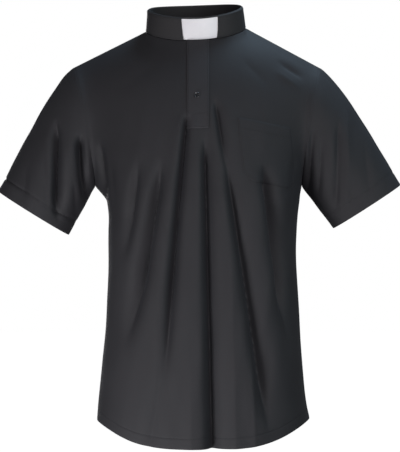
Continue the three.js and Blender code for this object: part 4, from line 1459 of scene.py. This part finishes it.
button_place = find_place(front, BUTTON_ACROSS, BUTTON_LEVEL, *PLACKET_SEARCH)
button_point, button_normal = sample(front, *button_place, BUTTON_LIFT)
button_mesh = button_piece.data
local = np.array([vertex.co for vertex in button_mesh.vertices]) / MM
placed = place_on_front(local, button_point, button_normal) * MM
button_mesh.vertices.foreach_set("co", placed.ravel())
button_mesh.update()
button_mesh.set_sharp_from_angle(angle=SHARP_ANGLE)
print("button with its holes:", len(button_mesh.polygons), "faces")
dress(button_piece, "button", "button")

# %% [markdown]
# ## Stitches
#
# A line of lockstitch is a row of short thread loops that rise a little and dive back into the
# cloth. One stitch is a tapered rod with an arched back. It could be repeated with an Array
# modifier along a curve. A whole row is instead that rod copied along a line on the cloth in
# one numpy sum, which keeps each stitch turned to the cloth's own normal.

# %% Stitch rows
STITCH_PITCH = 2.9
STITCH_LENGTH = 2.5
STITCH_ARCH = 1.4
THREAD_RADIUS = 0.22
AIM_REACH = 0.8
ROD_SIDES = 6
ROD_STATIONS = np.array([-1.0, -0.8, -0.35, 0.35, 0.8, 1.0])
ROD_RADII = np.array([0.0, 0.75, 1.0, 1.0, 0.75, 0.0])
print("stitches:", round(10 / STITCH_PITCH, 1), "in a centimetre")


def rod():
    """One stitch along x: a tapered tube whose middle rises in a parabola."""
    turn = np.linspace(0, 2 * math.pi, ROD_SIDES, endpoint=False)
    station = np.repeat(ROD_STATIONS, ROD_SIDES)
    radii = np.repeat(ROD_RADII * THREAD_RADIUS, ROD_SIDES)
    around = np.tile(turn, len(ROD_STATIONS))
    arch = THREAD_RADIUS * (1 - STITCH_ARCH * station**2)
    x = station * STITCH_LENGTH / 2
    points = np.stack([x, radii * np.cos(around), radii * np.sin(around) + arch], axis=1)
    return points, ring_quads(len(ROD_STATIONS), ROD_SIDES)[:, ::-1]


def stitch_row(path, normals):
    """Rods spaced evenly along a path of points, turned to its direction and normals."""
    run = np.concatenate([[0], np.cumsum(np.linalg.norm(np.diff(path, axis=0), axis=1))])
    count = max(int(run[-1] / STITCH_PITCH), 1)
    centre_run = (np.arange(count) + 0.5) * run[-1] / count

    def along(values, at):
        return np.stack([np.interp(at, run, values[:, k]) for k in range(3)], axis=1)

    centre = along(path, centre_run)
    forward = unit(along(path, centre_run + AIM_REACH) - along(path, centre_run - AIM_REACH))
    normal = unit(along(normals, centre_run))
    sideways = unit(np.cross(normal, forward))
    outward = np.cross(forward, sideways)
    points, quads = rod()
    places = (
        centre[:, None]
        + points[None, :, :1] * forward[:, None]
        + points[None, :, 1:2] * sideways[:, None]
        + points[None, :, 2:] * outward[:, None]
    )
    shift = np.arange(count)[:, None, None] * len(points)
    return places.reshape(-1, 3), (quads[None] + shift).reshape(-1, 4)


def join_rows(rows):
    """Several stitch rows as one set of points and quads."""
    shift = np.cumsum([0] + [len(points) for points, _ in rows[:-1]])
    return (
        np.concatenate([points for points, _ in rows]),
        np.concatenate([quads + start for (_, quads), start in zip(rows, shift)]),
    )


def line_above_edge(panel, gap):
    """The line that runs a gap above a panel's lower edge, with its normals."""
    to_end = panel["to_end"]
    column = np.arange(to_end.shape[1])
    row = np.clip((to_end > gap).sum(axis=0) - 1, 0, to_end.shape[0] - 2)
    far, near = to_end[row, column], to_end[row + 1, column]
    share = ((far - gap) / (far - near))[:, None]
    points = mix(panel["points"][row, column], panel["points"][row + 1, column], share)
    normals = mix(panel["normals"][row, column], panel["normals"][row + 1, column], share)
    if panel["closed"]:
        return np.vstack([points, points[:1]]), np.vstack([normals, normals[:1]])
    return points, normals


def line_on(panel, rows, columns, count=80):
    """A straight run of grid places on a panel, as points and normals."""
    return sample(panel, np.linspace(*rows, count), np.linspace(*columns, count))


def thread_mesh(name, slot, rows):
    """One thread mesh from several sets of points and quads."""
    points, quads = join_rows(rows)
    piece = make_mesh(name, points, quads, local_uv(points, quads), thread)
    merge_doubles(piece.data)
    return dress(piece, slot)


def sew(name, slot, paths):
    """Stitches along several paths, as one thread mesh."""
    return thread_mesh(name, slot, [stitch_row(*path) for path in paths])


# %% [markdown]
# ## Where the shirt is stitched
#
# Hems are stitched along their upper edge, all round. The placket is edge-stitched down both
# sides and held at its foot by a box. The pocket is stitched round three sides and along its
# turned mouth, and the collar's outer ply all round, also beside the window. Each line is
# given in shares of its piece's own grid, or in millimetres from an edge, so it stays on the
# piece when a size changes.

# %% Hem stitches
hem_lines = [line_above_edge(front, BODY_HEM_DEPTH), line_above_edge(back, BODY_HEM_DEPTH)]
hem_lines += [line_above_edge(panel, SLEEVE_HEM_DEPTH) for panel in sleeves.values()]
sew("hem_stitching", "cloth", hem_lines)

# %% Placket stitches
PLACKET_EDGE = 0.06
BOX_TOP = 0.86
BOX_FOOT = 0.985
placket_rows, placket_columns = len(upper["rows"]) - 1, len(upper["columns"]) - 1
box_left = PLACKET_EDGE * placket_columns
box_right = placket_columns - box_left
box_top = BOX_TOP * placket_rows
box_foot = BOX_FOOT * placket_rows
placket_lines = [
    line_on(upper, (1, box_foot), (box_left, box_left)),
    line_on(upper, (1, box_foot), (box_right, box_right)),
    line_on(upper, (box_top, box_top), (box_left, box_right)),
    line_on(upper, (box_foot, box_foot), (box_left, box_right)),
]
sew("placket_stitching", "placket_cloth", placket_lines)

# %% Pocket stitches
POCKET_SIDE = 0.022
POCKET_FOOT = 0.98
POCKET_MOUTH_HEM = 0.17
pocket_rows, pocket_columns = len(pocket["rows"]) - 1, len(pocket["columns"]) - 1
pocket_left = POCKET_SIDE * pocket_columns
pocket_right = pocket_columns - pocket_left
pocket_low = POCKET_FOOT * pocket_rows
pocket_hem = POCKET_MOUTH_HEM * pocket_rows
pocket_lines = [
    line_on(pocket, (0.5, pocket_low), (pocket_left, pocket_left)),
    line_on(pocket, (pocket_low, pocket_low), (pocket_left, pocket_right)),
    line_on(pocket, (pocket_low, 0.5), (pocket_right, pocket_right)),
    line_on(pocket, (pocket_hem, pocket_hem), (pocket_left, pocket_right)),
]
sew("pocket_stitching", "cloth", pocket_lines)

# %% Collar stitches
STITCH_GAP = 2.0
STITCH_FOOT = 2.5
STITCH_TOP = 34.0
INWARDS = 8.0


def on_collar(turn, height):
    """Points on the outer face of the collar, and the directions out of its ring there."""
    points = neck_point(turn, height, -collar_wave(turn, height))
    return points, unit(points - neck_point(turn, height, INWARDS))


def collar_line(height):
    """A line round the outer ply at a height, a gap short of the window at both ends."""
    gap = STITCH_GAP / NECK_HALF_WIDTH
    start = turn_at_x(window_half(height), height) + gap
    end = turn_at_x(-window_half(height), height) + 2 * math.pi - gap
    return on_collar(np.linspace(start, end, 300), height)


def window_line(side):
    """A line up one side of the window, a gap outside its edge."""
    height = np.linspace(STITCH_FOOT, STITCH_TOP, 40)
    return on_collar(turn_at_x(side * (window_half(height) + STITCH_GAP), height), height)


collar_lines = [collar_line(STITCH_TOP), collar_line(STITCH_FOOT), window_line(-1), window_line(1)]
sew("collar_stitching", "collar_cloth", collar_lines)

# %% Button thread
BAR_RADIUS = 0.3
BAR_TOP = 1.5
BAR_FOOT = 0.35
BAR_STATIONS = 15
BAR_SIDES = 12


def thread_bar(across):
    """A tube along half an ellipse over the dish. It ends inside two holes, and tapers there."""
    climb = np.linspace(-math.pi / 2, math.pi / 2, BAR_STATIONS)
    level = mix(BAR_FOOT, BAR_TOP, np.cos(climb))
    path = np.stack([HOLE_REACH * np.sin(climb), np.full(BAR_STATIONS, across), level], axis=1)
    forward = unit(np.gradient(path, axis=0))
    outward = np.stack([-forward[:, 2], 0 * forward[:, 1], forward[:, 0]], axis=1)
    sideways = np.array([0.0, 1.0, 0.0])
    radius = np.full(BAR_STATIONS, BAR_RADIUS)
    radius[[0, -1]] = 0.0
    turn = np.linspace(0, 2 * math.pi, BAR_SIDES, endpoint=False)[:, None]
    ring = outward[:, None] * np.cos(turn) + sideways * np.sin(turn)
    points = (path[:, None] + radius[:, None, None] * ring).reshape(-1, 3)
    quads = ring_quads(BAR_STATIONS, BAR_SIDES)
    return place_on_front(points, button_point, button_normal), quads


thread_mesh("button_thread", "button", [thread_bar(-HOLE_REACH), thread_bar(HOLE_REACH)])

# %% [markdown]
# ## Floor
#
# The shirt is held up by its wearer, so the floor lies well below it, where feet would stand.
# It is pale and plain, and it isn't part of the object. The camera sees it, but it neither
# lights nor shades the shirt, and it glows a little, so the background stays an even white.
# Without a floor the shirt would look the same here, but other views would have no ground.

# %% Floor
FLOOR_LEVEL = -1.25
FLOOR_HALF = 12.0
FLOOR_GLOW = 0.9

floor_material, tree, shader = new_material("studio_floor", {"Roughness": 0.9})
dust = noise(tree, tree.node("ShaderNodeTexCoord", output=3), 1.5, 2.0)
connect(dust.blend((0.86, 0.86, 0.86), (0.92, 0.92, 0.92)), shader, "Base Color")
shader.inputs["Emission Color"].default_value = (1, 1, 1, 1)
shader.inputs["Emission Strength"].default_value = FLOOR_GLOW
floor_mesh = bpy.data.meshes.new("studio_floor")
corners = [
    (x * FLOOR_HALF, y * FLOOR_HALF, FLOOR_LEVEL) for x, y in ((-1, -1), (1, -1), (1, 1), (-1, 1))
]
floor_mesh.from_pydata(corners, [], [(0, 1, 2, 3)])
floor_mesh.materials.append(floor_material)
floor = bpy.data.objects.new("studio_floor", floor_mesh)
floor.visible_diffuse = False
floor.visible_glossy = False
floor.visible_shadow = False
bpy.context.scene.collection.objects.link(floor)

# %% [markdown]
# ## Cut sizes
#
# Each piece of cloth has the size that it was cut to printed, found from the lines of its
# own surface: the widest row and the longest column. They could be typed in, but measured
# sizes stay true when a shape changes. A curved cut fills less than that rectangle, so its
# area is printed too.

# %% Sheets


def surface_area(panel):
    """Area of a panel in square metres: the length of the cross product of its grid steps."""
    points = panel["points"]
    if panel["closed"]:
        points = np.concatenate([points, points[:, :1]], axis=1)
    down = points[1:, :-1] - points[:-1, :-1]
    along = points[:-1, 1:] - points[:-1, :-1]
    return np.linalg.norm(np.cross(down, along), axis=2).sum() * MM * MM


def declare(piece, panel):
    """Prints a sheet's widest row, longest column and area."""
    width = np.ptp(panel["u"], axis=1).max() * MM
    length = panel["v"][-1].max() * MM
    area = min(surface_area(panel), width * length)
    print(piece.name, "flat", round(width, 3), "x", round(length, 3), "area", round(area, 4))


declare(front_piece, front)
declare(back_piece, back)
for name, panel in sleeves.items():
    declare(sleeve_pieces[name], panel)
declare(outer_piece, outer)
declare(inner_piece, inner)
declare(upper_piece, upper)
declare(under_piece, under)
declare(pocket_piece, pocket)
